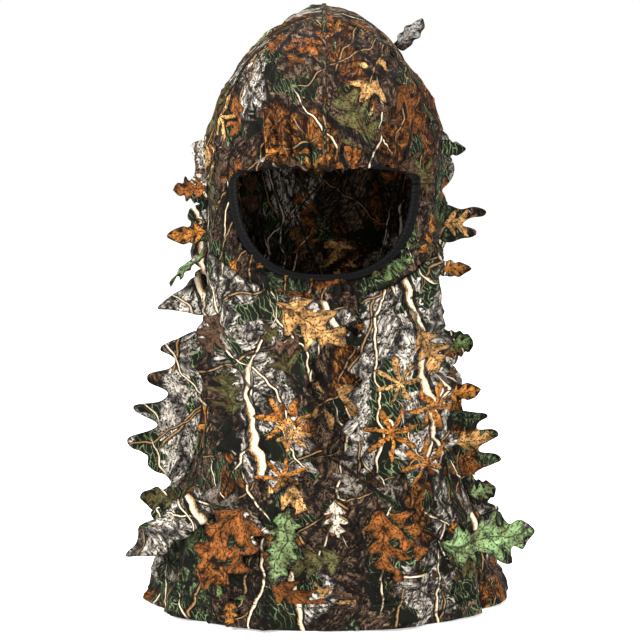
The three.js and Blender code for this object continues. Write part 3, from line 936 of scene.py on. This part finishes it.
def seam_strip(name, node, turn_at, down_at, rows=200):
    """A strip whose middle runs through (turn_at(t), down_at(t)) for t from 0 to 1."""
    mesh, s, t = grid(name, 8, rows)
    turn, down = turn_at(t), down_at(t)
    ahead = skin(turn_at(t + 0.001), down_at(t + 0.001)) - skin(turn, down)
    ahead /= np.maximum(np.linalg.norm(ahead, axis=1, keepdims=True), 1e-9)
    normal = skin(turn, down, 1.0) - skin(turn, down)
    across = np.cross(ahead, normal)
    off = (s - 0.5) * SEAM_WIDTH
    ridge = 0.8 * (1 - (2 * s - 1) ** 2) ** 0.5 + 0.15
    wander = 0.35 * ripple(skin(turn, down), 12, 70)
    out = hang(turn, down) + ridge + wander
    lay(mesh, skin(turn, down, out) + across * off[:, None])
    length = np.interp(down, ARC_DOWN, ARC_LENGTH) if np.ptp(down) > 20 else turn * 80
    uv = cloth_uv(turn, down, 0.0) + np.stack([off, 0 * off], -1) * MM
    stitches = np.stack([length, np.abs(off) - 1.25], -1) * MM
    obj = cloth_piece(name, mesh, uv, [], "hood", 0.6, stitches)
    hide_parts(node)
    obj.data.materials.append(SEAM_PRINT)


for word, side in SIDES.items():
    seam_strip(
        "arch_seam_" + word, "arch_tape_" + word,
        lambda t, side=side: side * arch_turn(rows_of(t, PEAK_DOWN + 0.3, HEM_TOP)),
        lambda t: rows_of(t, PEAK_DOWN + 0.3, HEM_TOP),
    )
    start = float(arch_turn(np.array([NECK_DOWN]))[0])
    seam_strip(
        "neck_seam_" + word, "neck_tape_" + word,
        lambda t, side=side: side * (start + (math.pi - start) * t),
        lambda t: 0 * t + NECK_DOWN,
    )
seam_strip("centre_seam", "centre_tape", lambda t: 0 * t, lambda t: rows_of(t, 0.5, 103), rows=90)
seam_strip(
    "back_seam", "back_tape", lambda t: 0 * t + math.pi, lambda t: rows_of(t, 0.5, HEM_TOP)
)
print(len(made), "pieces")

# %% [markdown]
# ## The gathered rim and its elastic
# The cloth round the face is folded over elastic. The fold is a puffed ring, pinched into fine
# gathers. Inside it runs a black ribbed band, which shows from the front as a dark line.


# %% Rim and elastic
def rim_ring(name, node, outer, inner, columns, rows, height, depth, tuck=0.0):
    """A ring between two margins of the opening's outline. At the brow, tuck narrows it."""
    mesh, s, t = grid(name, columns, rows)
    inner = inner + tuck * smooth(np.sin(2 * math.pi * s), 0.0, 0.5)
    x, down = opening_edge(2 * math.pi * s, outer + (inner - outer) * t)
    near = np.interp(s * 2 * math.pi, EDGE_ANGLES, np.arange(len(EDGE_ANGLES)))
    near = near.round().astype(int) % len(EDGE)
    if outer > 5:  # the gathered edge is ragged, and its brow sags at the middle seam
        ragged = 0.9 * ripple(EDGE[near], 9, 83) + 1.2 * ripple(EDGE[near], 24, 84)
        brow = smooth(EDGE[near][:, 1], 125, 114)
        ragged += brow * (0.5 + 3.5 * np.exp(-((x / 16) ** 2)) * (down < 130))
        x, down = opening_edge(2 * math.pi * s, outer + (inner - outer) * t - ragged * t)
    turn = np.arcsin(np.clip(x / section(down)[0], -0.9999, 0.9999))
    out = height(near, t) - depth * smooth(t, 0.6, 1.0)
    hood = hang(turn, down) if outer > 5 else 0
    lay(mesh, skin(turn, down, out + hood * (1 - t)))
    around = EDGE_SHARE[near] * EDGE_ROUND
    return mesh, np.stack([around, (t - 0.5) * abs(outer - inner)], -1) * MM


def casing_height(near, t):
    ring = EDGE[near]
    sway = 0.9 * ripple(np.concatenate([ring, 0 * ring[:, :1]], 1), 60, 8)
    puckers = pinch(near, sway)
    puckers *= 1 - 0.55 * smooth(np.abs(ring[:, 0]) / OPENING_SIDE, 0.75, 1.0)
    puff = np.sin(math.pi * np.clip(t, 0, 1)) ** 0.7
    return 0.7 + puff * 1.0 + smooth(t, 0, 0.6) * puckers * 0.75 + 0.5 * t * ripple(ring, 18, 81)


mesh, _ = rim_ring("rim_gathers", "opening_casing", CASING, 0.4, 900, 20, casing_height, 4.5)
points = points_of(mesh)
down = -points[:, 2]
turn = np.arcsin(np.clip(points[:, 0] / section(down)[0], -0.9999, 0.9999))
leaves = scatter(31, (-0.12, -0.24), (0.12, -0.02), 0.04)
# Painted shade in the valleys of the gathers round the opening.
paint_shade(mesh, smooth(-gathers(turn, down), -0.6, 2.8))
rim = cloth_piece("rim_gathers", mesh, cloth_uv(turn, down, 0.0), leaves, "hood", 0.7)
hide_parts("opening_casing")
rim.data.materials.append(BROW_PRINT)
rim.data.materials.append(CAPE_PRINT)
for face in rim.data.polygons:
    face.material_index = 1 if face.center.z < -0.124 else 0
print("rim:", len(mesh.polygons), "faces")

# %% [markdown]
# ## Black ribbed elastic
# Knitted elastic has fine ribs along it and a zigzag of thread where it is sewn down. Both
# follow the band, so the material reads the band's own map, in metres along and across it.


# %% Black ribbed elastic
def black_elastic():
    sh = Shader("black_elastic")
    around, across, _ = sh.split(sh.map("cloth"))
    rib = ((around / 0.0011) * math.pi).math("SINE").abs()
    row = ((across / 0.0014) * math.pi).math("SINE").abs()
    fuzz = sh.noise(sh.map("cloth"), 2600.0, 2.0)
    zigzag = ((around / 0.0022).math("FRACT") - 0.5).abs() * 0.0026
    overlock = ((across + 0.0012 - zigzag).abs() < 0.00032) > 0.0
    hem_thread = ((across - 0.0024).abs() < 0.00028) * ((around / 0.003).math("FRACT") < 0.7)
    thread = (overlock + hem_thread) > 0.0
    black = sh.ramp(rib * 0.6 + fuzz * 0.5, [(0.2, srgb("030304")), (0.95, srgb("0d0d0e"))])
    colour = sh.blend(thread * 0.7, black, srgb("1f1e1c"))
    sh.feed(sh.surface.inputs["Base Color"], colour)
    sh.feed(sh.surface.inputs["Roughness"], 0.5 + 0.3 * fuzz)
    height = rib * 0.5 + row * 0.25 + thread * 0.6
    bump = sh.node("ShaderNodeBump", None, {"Strength": 0.7, "Distance": 0.0005, "Height": height})
    sh.feed(sh.surface.inputs["Normal"], bump.outputs[0])
    sh.surface.inputs["Specular IOR Level"].default_value = 0.06
    return sh.material


def elastic_height(near, t):
    tucked = 4.0 * smooth(EDGE[near][:, 1], 125, 113)  # behind the brow
    return 0.35 * pleats(near, 5.0, 0) - 3.6 - tucked + 1.2 * np.sin(math.pi * t)


mesh, uv = rim_ring("elastic_band", "face_elastic", 2.5, -4.4, 420, 10, elastic_height, 1.5, 2.4)
elastic = cloth_piece("elastic_band", mesh, uv, [], "hood", 1.2)
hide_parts("face_elastic")
elastic.data.materials.append(black_elastic())

# %% [markdown]
# ## Cutting leaves
# Die-cut pieces start as a grid over the outline's box. Faces outside the outline are deleted,
# and the rim's points are pulled onto the outline. A curve through a few given points
# gives the soft, lobed edge that a cutting die leaves.


# %% Cutting leaves
def curve_through(points, steps=7):
    """A smooth closed curve through the points."""
    points = np.array(points, float)
    before, after, beyond = (np.roll(points, k, 0) for k in (1, -1, -2))
    t = np.linspace(0, 1, steps, endpoint=False)[:, None, None]
    curve = points + 0.5 * t * (
        (after - before)
        + t * ((2 * before - 5 * points + 4 * after - beyond)
               + t * (3 * (points - after) + beyond - before))
    )
    return curve.transpose(1, 0, 2).reshape(-1, 2)


def within(points, outline):
    """Which points lie inside a closed outline: a ray from each crosses it an odd number
    of times."""
    x, y = points.T
    inside = np.zeros(len(points), bool)
    for (ax, ay), (bx, by) in zip(outline, np.roll(outline, -1, 0)):
        if ay != by:
            crosses = (ay > y) != (by > y)
            inside ^= crosses & (x < ax + (bx - ax) * (y - ay) / (by - ay))
    return inside


def cut_cloth(name, outline, cell):
    """A flat piece cut to an outline. Returns its mesh, points and distance from the cut edge."""
    low, high = outline.min(0), outline.max(0)
    counts = np.ceil((high - low) / cell).astype(int)
    bm = bmesh.new()
    bmesh.ops.create_grid(bm, x_segments=int(counts[0]), y_segments=int(counts[1]), size=0.5)
    for v in bm.verts:
        v.co.x, v.co.y = low + (np.array(v.co[:2]) + 0.5) * (high - low)
    faces = list(bm.faces)
    keep = within(np.array([f.calc_center_median()[:2] for f in faces]), outline)
    bmesh.ops.delete(bm, geom=[f for f, k in zip(faces, keep) if not k], context="FACES")
    dense = (outline[:, None] + np.linspace(0, 1, 6)[None, :-1, None]
             * (np.roll(outline, -1, 0) - outline)[:, None]).reshape(-1, 2)
    for v in bm.verts:
        if v.is_boundary:
            v.co.x, v.co.y = dense[((dense - v.co[:2]) ** 2).sum(1).argmin()]
    mesh = bpy.data.meshes.new(name)
    bm.to_mesh(mesh)
    bm.free()
    flat = points_of(mesh)[:, :2]
    gap = np.concatenate([
        np.linalg.norm(flat[i : i + 1500, None] - dense[None], axis=2).min(1)
        for i in range(0, len(flat), 1500)
    ])
    return mesh, flat, gap


octagon = [(math.cos(a * math.pi / 4), math.sin(a * math.pi / 4)) for a in range(8)]
print("an octagon becomes a round of", len(curve_through(octagon)), "points")

# %% [markdown]
# ## The two front drapes
# Two large flaps hang from the opening's lower edge over the front, cut along the printed
# bark and leaves. They lie on the front panel at the top and stand off lower down, with curled
# edges.

# %% The two front drapes
DRAPES = {
    "left": [
        (-80, 180), (-74, 183), (-66, 188), (-55, 195), (-40, 201), (-24, 204), (-8, 206), (4, 208),
        (14, 212), (22, 222), (14, 226), (20, 234), (12, 240), (2, 238), (-4, 246), (-10, 252),
        (-6, 262), (-12, 270), (-4, 280), (-8, 290), (-2, 300), (-8, 306), (0, 318), (-8, 322),
        (-4, 334), (-14, 332), (-16, 344), (-26, 338), (-32, 350), (-40, 340), (-50, 346),
        (-52, 334), (-64, 336), (-60, 324), (-72, 322), (-66, 310), (-78, 304), (-70, 294),
        (-82, 286), (-76, 274), (-86, 262), (-80, 252), (-87, 240), (-82, 228), (-87, 216),
        (-82, 200),
    ],
    "right": [
        (30, 203), (44, 200), (56, 194), (66, 188), (74, 183), (80, 180), (82, 200), (86, 218),
        (80, 230), (87, 244), (82, 256), (88, 270), (84, 284), (89, 298), (85, 308), (90, 322),
        (80, 328), (78, 342), (66, 334), (58, 348), (48, 336), (38, 346), (32, 332), (20, 338),
        (20, 326), (10, 322), (18, 310), (12, 300), (22, 288), (16, 276), (24, 264), (14, 256),
        (24, 246), (18, 238), (26, 228), (24, 214),
    ],
}
DRAPE_PRINTS = {
    "left": [
        (-0.031, -0.209, -0.62, 0.056, OAK, TAN), (-0.046, -0.302, 0.3, 0.042, STAR, ORANGE),
        (-0.044, -0.331, -0.4, 0.038, STAR, ORANGE), (-0.072, -0.222, -1.9, 0.036, OAK, BROWN),
        (-0.03, -0.316, 0.9, 0.03, STAR, TAN),
    ],
    "right": [
        (0.024, -0.31, 0.2, 0.042, STAR, ORANGE), (0.036, -0.281, 0.8, 0.036, STAR, TAN),
        (0.047, -0.326, -0.3, 0.042, STAR, ORANGE), (0.058, -0.3, 0.5, 0.04, STAR, ORANGE),
        (0.066, -0.232, -1.2, 0.036, OAK, TAN),
    ],
}
DRAPE_TOP = 206  # below this level a drape stands off the front
BEND_LENGTH = 0.026  # how far below its seam the drape's low point lies, m
GREY_PRINT = camo_print(
    "camo_print_grey", (0.83, 0.12, 0.0), (0.06, 0.92, 0.96), 0.45, 0.46, 0.0034
)


def front_drape(word):
    name = "drape_cloth_" + word
    outline = curve_through(DRAPES[word], 6)
    mesh, flat, gap = cut_cloth(name, outline, 1.5)
    x, down = flat.T
    turn = np.arcsin(np.clip(x / section(down)[0], -0.999, 0.999))
    lower = smooth(down, DRAPE_TOP, DRAPE_TOP + 90)
    sheet = np.stack([x, down * 0.4], -1)
    folds = 2.6 * ripple(sheet, 30, 100) + 1.3 * ripple(flat, 15, 101)
    folds -= 1.5 * crease(sheet, 34, 103)
    free = smooth(down, 212, 232)
    curl = np.exp(-gap / 5) * (3.0 + 2.6 * ripple(flat, 26, 102)) * free
    out = 1.6 + 0.9 * hang(turn, down) + lower * (5.0 + folds) + curl + 2.5 * free
    floor = hang(turn, down) + 1.0 + 1.2 * free
    lay(mesh, skin(turn, down, np.maximum(out, floor)))
    tints = [BROWN, GREY, RUST, OLIVE]
    prints = scatter(110, (-0.1, -0.35), (0.1, -0.2), 0.05, (0.025, 0.04), tints)
    prints = prints[:6] + DRAPE_PRINTS[word]
    stitches = np.stack([flat[:, 0] * 0, down * 0 + MM], -1)
    # Painted shade: the drape darkens towards its cut edge.
    paint_shade(mesh, 0.8 * np.exp(-gap / 0.9))
    obj = cloth_piece(name, mesh, flat * [MM, -MM], prints, None, 0.7, stitches)
    obj.data.materials.append(GREY_PRINT)
    node = "front_drape_" + word
    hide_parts(node)
    joint = next(j for j in frame["joints"] if j["child"] == node)
    low = [joint["pos_m"][0], joint["pos_m"][1], joint["pos_m"][2] - BEND_LENGTH]
    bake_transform(obj)
    print(name, len(mesh.polygons), "faces")


for word in SIDES:
    front_drape(word)

# %% [markdown]
# ## The leaves
# Each cut leaf follows its hinge. The hinge's place is the sewn root, the hinge line runs across
# the root, and the leaf reaches out from it the way its solid does. Outlines are half widths at
# shares of the length, mirrored, with a little unevenness. Sprays have a long straight root, so
# their outline is given in full.

# %% Leaf outlines
OAK_CUT = [
    (0, 0.13), (0.08, 0.14), (0.13, 0.32), (0.21, 0.38), (0.28, 0.2), (0.36, 0.45), (0.46, 0.5),
    (0.52, 0.25), (0.6, 0.42), (0.7, 0.42), (0.75, 0.2), (0.84, 0.26), (0.92, 0.16), (1, 0.03),
]
CLUSTER_CUT = [
    (0, 0.16), (0.06, 0.3), (0.14, 0.5), (0.24, 0.3), (0.32, 0.48), (0.42, 0.47), (0.5, 0.28),
    (0.6, 0.48), (0.68, 0.34), (0.74, 0.22), (0.84, 0.34), (0.9, 0.16), (1, 0.06),
]
FINGER_CUT = [
    (0, 0.4), (0.2, 0.42), (0.35, 0.5), (0.5, 0.36), (0.64, 0.44), (0.82, 0.28), (1, 0.05),
]
ROUND_CUT = [
    (0, 0.36), (0.15, 0.42), (0.3, 0.5), (0.42, 0.4), (0.58, 0.5), (0.72, 0.33), (0.86, 0.34),
    (1, 0.08),
]
MAPLE_CUT = [
    (0, 0.3), (0.1, 0.34), (0.16, 0.42), (0.3, 0.3), (0.36, 0.5), (0.5, 0.3), (0.62, 0.46),
    (0.68, 0.2), (0.84, 0.2), (1, 0.02),
]
SPRAY_CUTS = {
    "neck_spray_left": [
        (0, -0.5), (0.3, -0.42), (0.45, -0.2), (0.7, 0.0), (0.95, 0.3), (1, 0.42), (0.7, 0.44),
        (0.4, 0.5), (0, 0.5),
    ],
    "shoulder_spray_left": [
        (0, -0.5), (0.4, -0.5), (0.62, -0.42), (0.42, -0.35), (0.5, -0.28), (0.8, -0.22),
        (0.76, -0.15), (0.5, -0.1), (0.6, -0.03), (0.95, 0.02), (0.88, 0.09), (0.6, 0.14),
        (0.72, 0.2), (1, 0.27), (0.95, 0.34), (0.66, 0.38), (0.6, 0.46), (0.3, 0.5), (0, 0.5),
    ],
    "cheek_spray_right": [
        (0, -0.5), (0.5, -0.46), (0.8, -0.36), (0.78, -0.2), (0.5, -0.08), (0.62, 0.08),
        (0.92, 0.2), (1, 0.36), (0.8, 0.44), (0.45, 0.4), (0, 0.5),
    ],
    "shoulder_spray_right": [
        (0, -0.5), (0.5, -0.46), (0.9, -0.4), (0.86, -0.28), (0.55, -0.2), (0.6, -0.1),
        (1, 0.0), (0.94, 0.12), (0.6, 0.18), (0.62, 0.28), (0.85, 0.38), (0.6, 0.46), (0, 0.5),
    ],
}


def mirrored(half, seed):
    """A closed outline from half widths, its two sides a little uneven."""
    rng = np.random.default_rng(seed)
    right = [(u, w * rng.uniform(0.85, 1.0)) for u, w in half]
    left = [
        (u + rng.uniform(-0.02, 0.02) * (0 < u < 1), -w * rng.uniform(0.85, 1.0)) for u, w in half
    ]
    return right + left[::-1]


def one(tint):
    """One printed leaf that fills the cut one: root along and across, heading, length."""
    return [(0.02, 0.0, 0.0, 0.98, OAK, tint)]


def cluster(tint, other):
    """Several printed leaves fanned over a wide piece."""
    return [
        (0.3, 0.1, 1.0, 0.62, OAK, other), (0.3, -0.1, -1.0, 0.62, OAK, tint),
        (0.05, 0.0, 0.45, 0.8, OAK, tint), (0.0, -0.05, -0.3, 0.95, OAK, tint),
    ]


# Shares of the solid's length and width, for the leaves whose cloth differs from it.
TRIM = {"log_leaf_left": (0.84, 0.72), "hem_leaf_left": (1.15, 1.2)}
TWIST = {"crown_leaf": 1.35, "jaw_leaf_left": 0.4}  # radians, from root to tip
ROLL = {"log_leaf_left": 7.0, "shoulder_spray_left": 3.0}  # how far the middle arches, mm

# Outline, printed leaves, and how strongly the piece buckles in millimetres.
LEAVES = {
    "crown_leaf": (ROUND_CUT, one(srgb("8b8884")), 1),
    "temple_leaf_left": (MAPLE_CUT, one(RUST), 1.5),
    "cheek_leaf_left": (FINGER_CUT, one(ORANGE), 1.5),
    "jaw_leaf_left": (MAPLE_CUT, one(SAGE), 2),
    "neck_spray_left": (None, [], 1.5),
    "shoulder_spray_left": (None, [], 3),
    "shoulder_leaf_left": (FINGER_CUT, one(OLIVE), 1.5),
    "temple_leaf_right": (FINGER_CUT, [], 1),
    "cheek_spray_right": (None, one(TAN), 1.5),
    "jaw_leaf_right": (FINGER_CUT, one(ORANGE), 1),
    "neck_leaf_right": (ROUND_CUT, one(GREEN), 1),
    "shoulder_leaf_right": (FINGER_CUT, one(ORANGE), 1),
    "shoulder_spray_right": (None, [(0.0, 0.0, 0.0, 1.0, OAK, TAN)], 2),
    "elbow_leaf_right": (ROUND_CUT, one(SAGE), 1),
    "log_leaf_left": (FINGER_CUT, [], 2.5),
    "rust_leaf_left": (CLUSTER_CUT, cluster(RUST, ORANGE), 2.5),
    "oak_leaf_left": (OAK_CUT, one(SAGE), 2),
    "birch_leaf_front": (ROUND_CUT, one(CREAM), 1),
    "rust_leaf_right": (CLUSTER_CUT, cluster(RUST, TAN), 2.5),
    "oak_leaf_right": (OAK_CUT, one(SAGE), 2.5),
    "hem_leaf_left": (MAPLE_CUT, one(ORANGE), 1),
}
BACK_LOOKS = [
    (CLUSTER_CUT, cluster(RUST, TAN), 2.5),
    (OAK_CUT, one(GREEN), 2.5),
    (MAPLE_CUT, [], 2.5),
    (OAK_CUT, one(BROWN), 2.5),
]
for joint in frame["joints"]:
    child = joint["child"]
    if child.startswith("back_leaf"):
        row, column = (int(part) for part in child.split("_")[2:])
        LEAVES[child] = BACK_LOOKS[(row + column - 2) % 4]
print(len(LEAVES), "leaves")


# %% [markdown]
# ## Making the leaves
# A leaf can press a few degrees towards the head before its root stops it. The shape leaves
# room for that: each point is swung to the hinge's lowest angle, measured against the hood's
# cloth, and lifted by what is missing. So one shape serves at every angle.


# %% Making the leaves
# How far a pressed leaf stays off the hood, mm, and over which share of its length that sets in.
ROOM = {"rust_leaf_left": (2.2, -0.04, 0.1)}


def room_to_press(points, share, pivot, joint):
    """Lifts a leaf where it would sink into the hood at its hinge's lowest angle."""
    back = np.array(Matrix.Rotation(math.radians(joint["range_deg"][0]), 3, Vector(joint["axis"])))
    pressed = (points - pivot) @ back.T + pivot
    down = np.clip(-pressed[:, 2], 1, HEM_DOWN)
    side, front, rear = section(down)
    depth = np.where(pressed[:, 1] < 0, front, rear)
    turn = np.arctan2(pressed[:, 0] / side, -pressed[:, 1] / depth)
    outward = skin(turn, down, 1.0) - skin(turn, down)
    stands = ((pressed - skin(turn, down, hang(turn, down))) * outward).sum(1)
    room, first, full = ROOM.get(joint["child"], (1.3, 0.0, 0.2))
    lift = np.clip(room - stands, 0, 9) * smooth(share, first, full)
    return points + (lift[:, None] * outward) @ back, lift.max()


def leaf_cloth(joint, number):
    node = joint["child"]
    half, prints, buckle = LEAVES[node]
    solid = points_of(frame["nodes"][node].data) / MM
    pivot, side = np.array(joint["pos_m"]) / MM, -np.array(joint["axis"])
    reach = solid.mean(0) - pivot
    reach -= side * (reach @ side)
    reach /= np.linalg.norm(reach)
    face = np.cross(reach, side)
    length = ((solid - pivot) @ reach).max()
    width = np.ptp((solid - pivot) @ side)
    middle = ((solid - pivot) @ side).max() - width / 2
    shape = SPRAY_CUTS.get(node) or mirrored(half, 200 + number)
    trim = TRIM.get(node, (1, 1))
    length, width = length * trim[0], width * trim[1]
    outline = curve_through(shape, 5) * [length, width]
    cell = 1.0 if length < 35 else 1.5
    mesh, flat, gap = cut_cloth(node + "_cloth", outline, cell)
    u, v = flat.T
    # The root line follows the hood; the rest is a stiff flap with a curl and a few buckles.
    side_r, front_r, back_r = section(np.array([-pivot[2]]))
    depth_r = front_r if pivot[1] < 0 else back_r
    turn = math.atan2(pivot[0] / side_r[0], -pivot[1] / depth_r[0])
    step = (skin([turn + 0.01], [-pivot[2]]) - skin([turn - 0.01], [-pivot[2]]))[0] / 0.02
    offset = v + (middle if node in SPRAY_CUTS else 0)
    at = turn + offset * (side @ step) / (step @ step)
    level = -pivot[2] - side[2] * offset
    if node in SPRAY_CUTS:
        root = skin(at, level, 1.2)
    else:
        root = pivot + side * offset[:, None]
    share = np.clip(u / length, 0, 1)
    bend = buckle * share * ripple(flat, 24, 300 + number) + 0.35 * ripple(flat, 9, 400 + number)
    bend += 0.06 * length * share**2
    bend += (1.6 + 1.4 * ripple(flat, 18, 500 + number)) * np.exp(-gap / 3.5) * share**0.5
    bend += ROLL.get(node, 0) * share**0.5 * (1 - (2 * v / width) ** 2)
    twist = TWIST.get(node, 0) * smooth(share, -0.6, 0.4)
    root = root + side * (v * (np.cos(twist) - 1))[:, None] + face * (v * np.sin(twist))[:, None]
    points = root + reach * u[:, None] + face * bend[:, None]
    points, lift = room_to_press(points, share, pivot, joint)
    print("%-22s lifted %.1f mm" % (node, lift))
    lay(mesh, points)
    spot = [0.11 * number, 0.07 * number]
    leaves = [
        (spot[0] + pu * length * MM, spot[1] + pv * width * MM, way, part * length * MM, kind, tint)
        for pu, pv, way, part, kind, tint in prints
    ]
    stitches = np.stack([v, u - 2.0], -1) * MM
    # Painted shade: the leaf darkens towards its cut edge.
    paint_shade(mesh, 0.7 * np.exp(-gap / 0.7))
    obj = cloth_piece(node + "_cloth", mesh, flat * MM + spot, leaves, node, 0.8, stitches)
    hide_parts(node)
    obj.data.materials.append(PRINT if prints else GREY_PRINT)


def slot_of(node):
    """The finish a node has in the frame's record, found by the colour it came in."""
    material = frame["nodes"][node].data.materials[0]
    base = material.node_tree.nodes["Principled BSDF"].inputs["Base Color"].default_value
    rows = frame["record"]["materials"]
    near = [sum((a - b) ** 2 for a, b in zip(row["base_color"], base)) for row in rows]
    return rows[near.index(min(near))]["slot"]


frame["slots"] = {node: slot_of(node) for node in frame["nodes"]}
leaf_joints = [j for j in frame["joints"] if j["child"] in LEAVES]
for number, joint in enumerate(leaf_joints):
    leaf_cloth(joint, number)
print(len(made), "pieces, slots", sorted(set(frame["slots"].values())))

# %% [markdown]
# ## Ruffles down the sides
# Between the cut leaves a narrow lobed ruffle is sewn down each side, behind them. It fills the
# outline the way the bunched leaf cloth does.


# %% Ruffles
def ruffle(name, side, behind, start, stop, height, seed):
    """A strip sewn upright down the hood's side, its free edge cut into lobes."""
    mesh, s, t = grid(name, int((stop - start) / 1.2), 14)
    down = start + (stop - start) * s
    rim_line = np.stack([down, down * 0], -1)
    lobes = np.abs(np.sin(rim_line[:, 0] / 11 + 1.6 * ripple(rim_line, 70, seed))) ** 0.6
    tall = height * (0.35 + 0.65 * lobes) * (0.75 + 0.35 * ripple(rim_line, 55, seed + 1))
    tall *= smooth(s, 0, 0.06) * smooth(1 - s, 0, 0.06)
    waves = (3.2 * ripple(rim_line, 26, seed + 2) + 1.2 * ripple(rim_line, 11, seed + 3)) * t
    turn = side * (math.radians(behind) + np.maximum(waves + 3 * t, 0) / 90)
    lay(mesh, skin(turn, down, hang(turn, down) + 0.4 + tall * t))
    uv = np.stack([tall * t * side, -down], -1) * MM
    leaves = scatter(seed, (-0.02, -0.42), (0.02, -0.1), 0.03, (0.02, 0.03))
    obj = cloth_piece(name, mesh, uv, leaves, "hood")
    obj.data.materials.append(GREY_PRINT)


ruffle("ruffle_left_upper", -1, 94, 96, 245, 15, 700)
ruffle("ruffle_left_lower", -1, 98, 250, 424, 17, 710)
ruffle("ruffle_right_upper", 1, 92, 90, 232, 8, 720)
ruffle("ruffle_right_lower", 1, 92, 236, 424, 13, 730)
print(len(made), "pieces")

# %% [markdown]
# ## What each piece is cut from
# The flat size each piece of cloth is cut to is worked out and printed. The cloth map is the flat
# pattern, so its extent gives width and length, and its area gives the area of the cut.


# %% Measuring the cloth
def declare(obj, rests_on, extra=1.0):
    """extra is how much more cloth the gathers take than the smooth shape they cover."""
    mesh = obj.data
    uv = np.empty(len(mesh.loops) * 2, np.float32)
    mesh.uv_layers["cloth"].data.foreach_get("uv", uv)
    uv = uv.reshape(-1, 2).astype(float)
    mesh.calc_loop_triangles()
    a, b, c = uv[np.array([t.loops for t in mesh.loop_triangles])].transpose(1, 0, 2)
    ab, ac = b - a, c - a
    area = np.abs(ab[:, 0] * ac[:, 1] - ab[:, 1] * ac[:, 0]).sum() / 2 * extra
    size = np.ptp(uv, axis=0) * [extra, 1]
    flat = [round(float(v), 4) for v in np.maximum(size, 0.0101)]
    area = min(float(area), flat[0] * flat[1])
    print("%-24s %.0f x %.0f mm, %.1f cm2" % (obj.name, flat[0] * 1e3, flat[1] * 1e3, area * 1e4))


piece = {obj.name: obj for obj in made}
ON_PANELS = {
    "forehead_cloth_left": ["centre_seam"],
    "forehead_cloth_right": [],
    "hood_cloth_left": ["arch_seam_left", "neck_seam_left", "back_seam"],
    "hood_cloth_right": ["arch_seam_right", "neck_seam_right"],
    "cape_cloth_left": [],
    "cape_cloth_right": [],
    "front_cloth": ["elastic_band", "rim_gathers"],
}


def under(obj, root=None):
    """The panel that lies nearest to a piece's sewn root, or to its middle."""
    place = points_of(obj.data).mean(0) if root is None else np.array(root)

    def gap_to(name):
        return np.linalg.norm(points_of(piece[name].data) - place, axis=1).min()

    return min(ON_PANELS, key=gap_to)


for name, strips in ON_PANELS.items():
    gathers = 1.12 if name == "front_cloth" else 1.05
    declare(piece[name], ["head_seat"], gathers)
for name in ("hem_fold_front", "hem_fold_back"):
    declare(piece[name], ["front_cloth"])
for word in SIDES:
    declare(piece["drape_cloth_" + word], ["front_cloth", "rim_gathers"], 1.3)
for name, obj in piece.items():
    if name.startswith("ruffle"):
        declare(obj, [under(obj)], 1.3)
for joint in leaf_joints:
    leaf = piece[joint["child"] + "_cloth"]
    declare(leaf, [under(leaf, joint["pos_m"])])

# %% [markdown]
# ## Camera and light
# A long lens a little above the middle keeps the hem's curve gentle. The light is a bright, even
# studio: a large soft panel each side, one above, and a pale floor.

# %% Camera, light and floor
FLOOR = -HEM_DOWN * MM - 0.001
bpy.ops.mesh.primitive_plane_add(size=8, location=(0, 0, FLOOR))
floor = bpy.context.object
floor.name = "floor"
white = bpy.data.materials.new("floor_white")
white.use_nodes = True
inputs = white.node_tree.nodes["Principled BSDF"].inputs
inputs["Base Color"].default_value = (0.9, 0.9, 0.9, 1)
inputs["Emission Color"].default_value = (1, 1, 1, 1)
inputs["Emission Strength"].default_value = 0.5
floor.data.materials.append(white)

LOOK_DOWN = math.radians(8)
DISTANCE = 1.6
target = np.array([-0.003, 0.0, -0.2345])
camera_data = bpy.data.cameras.new("camera")
camera = bpy.data.objects.new("camera", camera_data)
bpy.context.scene.collection.objects.link(camera)
camera.location = target + DISTANCE * np.array([0, -math.cos(LOOK_DOWN), math.sin(LOOK_DOWN)])
camera.rotation_euler = (math.pi / 2 - LOOK_DOWN, 0, 0)
camera_data.lens = 119.3
bpy.context.scene.camera = camera


def panel_light(name, place, size, power):
    lamp = bpy.data.lights.new(name, "AREA")
    lamp.size, lamp.energy = size, power
    light = bpy.data.objects.new(name, lamp)
    bpy.context.scene.collection.objects.link(light)
    light.location = place
    away = light.location - Vector(target)
    light.rotation_euler = away.to_track_quat("Z", "Y").to_euler()


panel_light("left_panel", (-1.5, -1.4, 0.8), 0.6, 67)
panel_light("right_panel", (1.6, -1.3, 0.2), 0.7, 26)
panel_light("face_panel", (0.0, -1.7, 0.0), 0.4, 5)
panel_light("top_panel", (0.1, 0.3, 1.4), 0.9, 50)
world = bpy.context.scene.world or bpy.data.worlds.new("studio")
bpy.context.scene.world = world
world.use_nodes = True
background = world.node_tree.nodes["Background"]
background.inputs[0].default_value = (1, 1, 1, 1)
rays = world.node_tree.nodes.new("ShaderNodeLightPath")
dim = world.node_tree.nodes.new("ShaderNodeMapRange")
dim.inputs["To Min"].default_value = 0.5
world.node_tree.links.new(rays.outputs["Is Camera Ray"], dim.inputs["Value"])
world.node_tree.links.new(dim.outputs[0], background.inputs[1])
bpy.context.scene.view_settings.view_transform = "Standard"
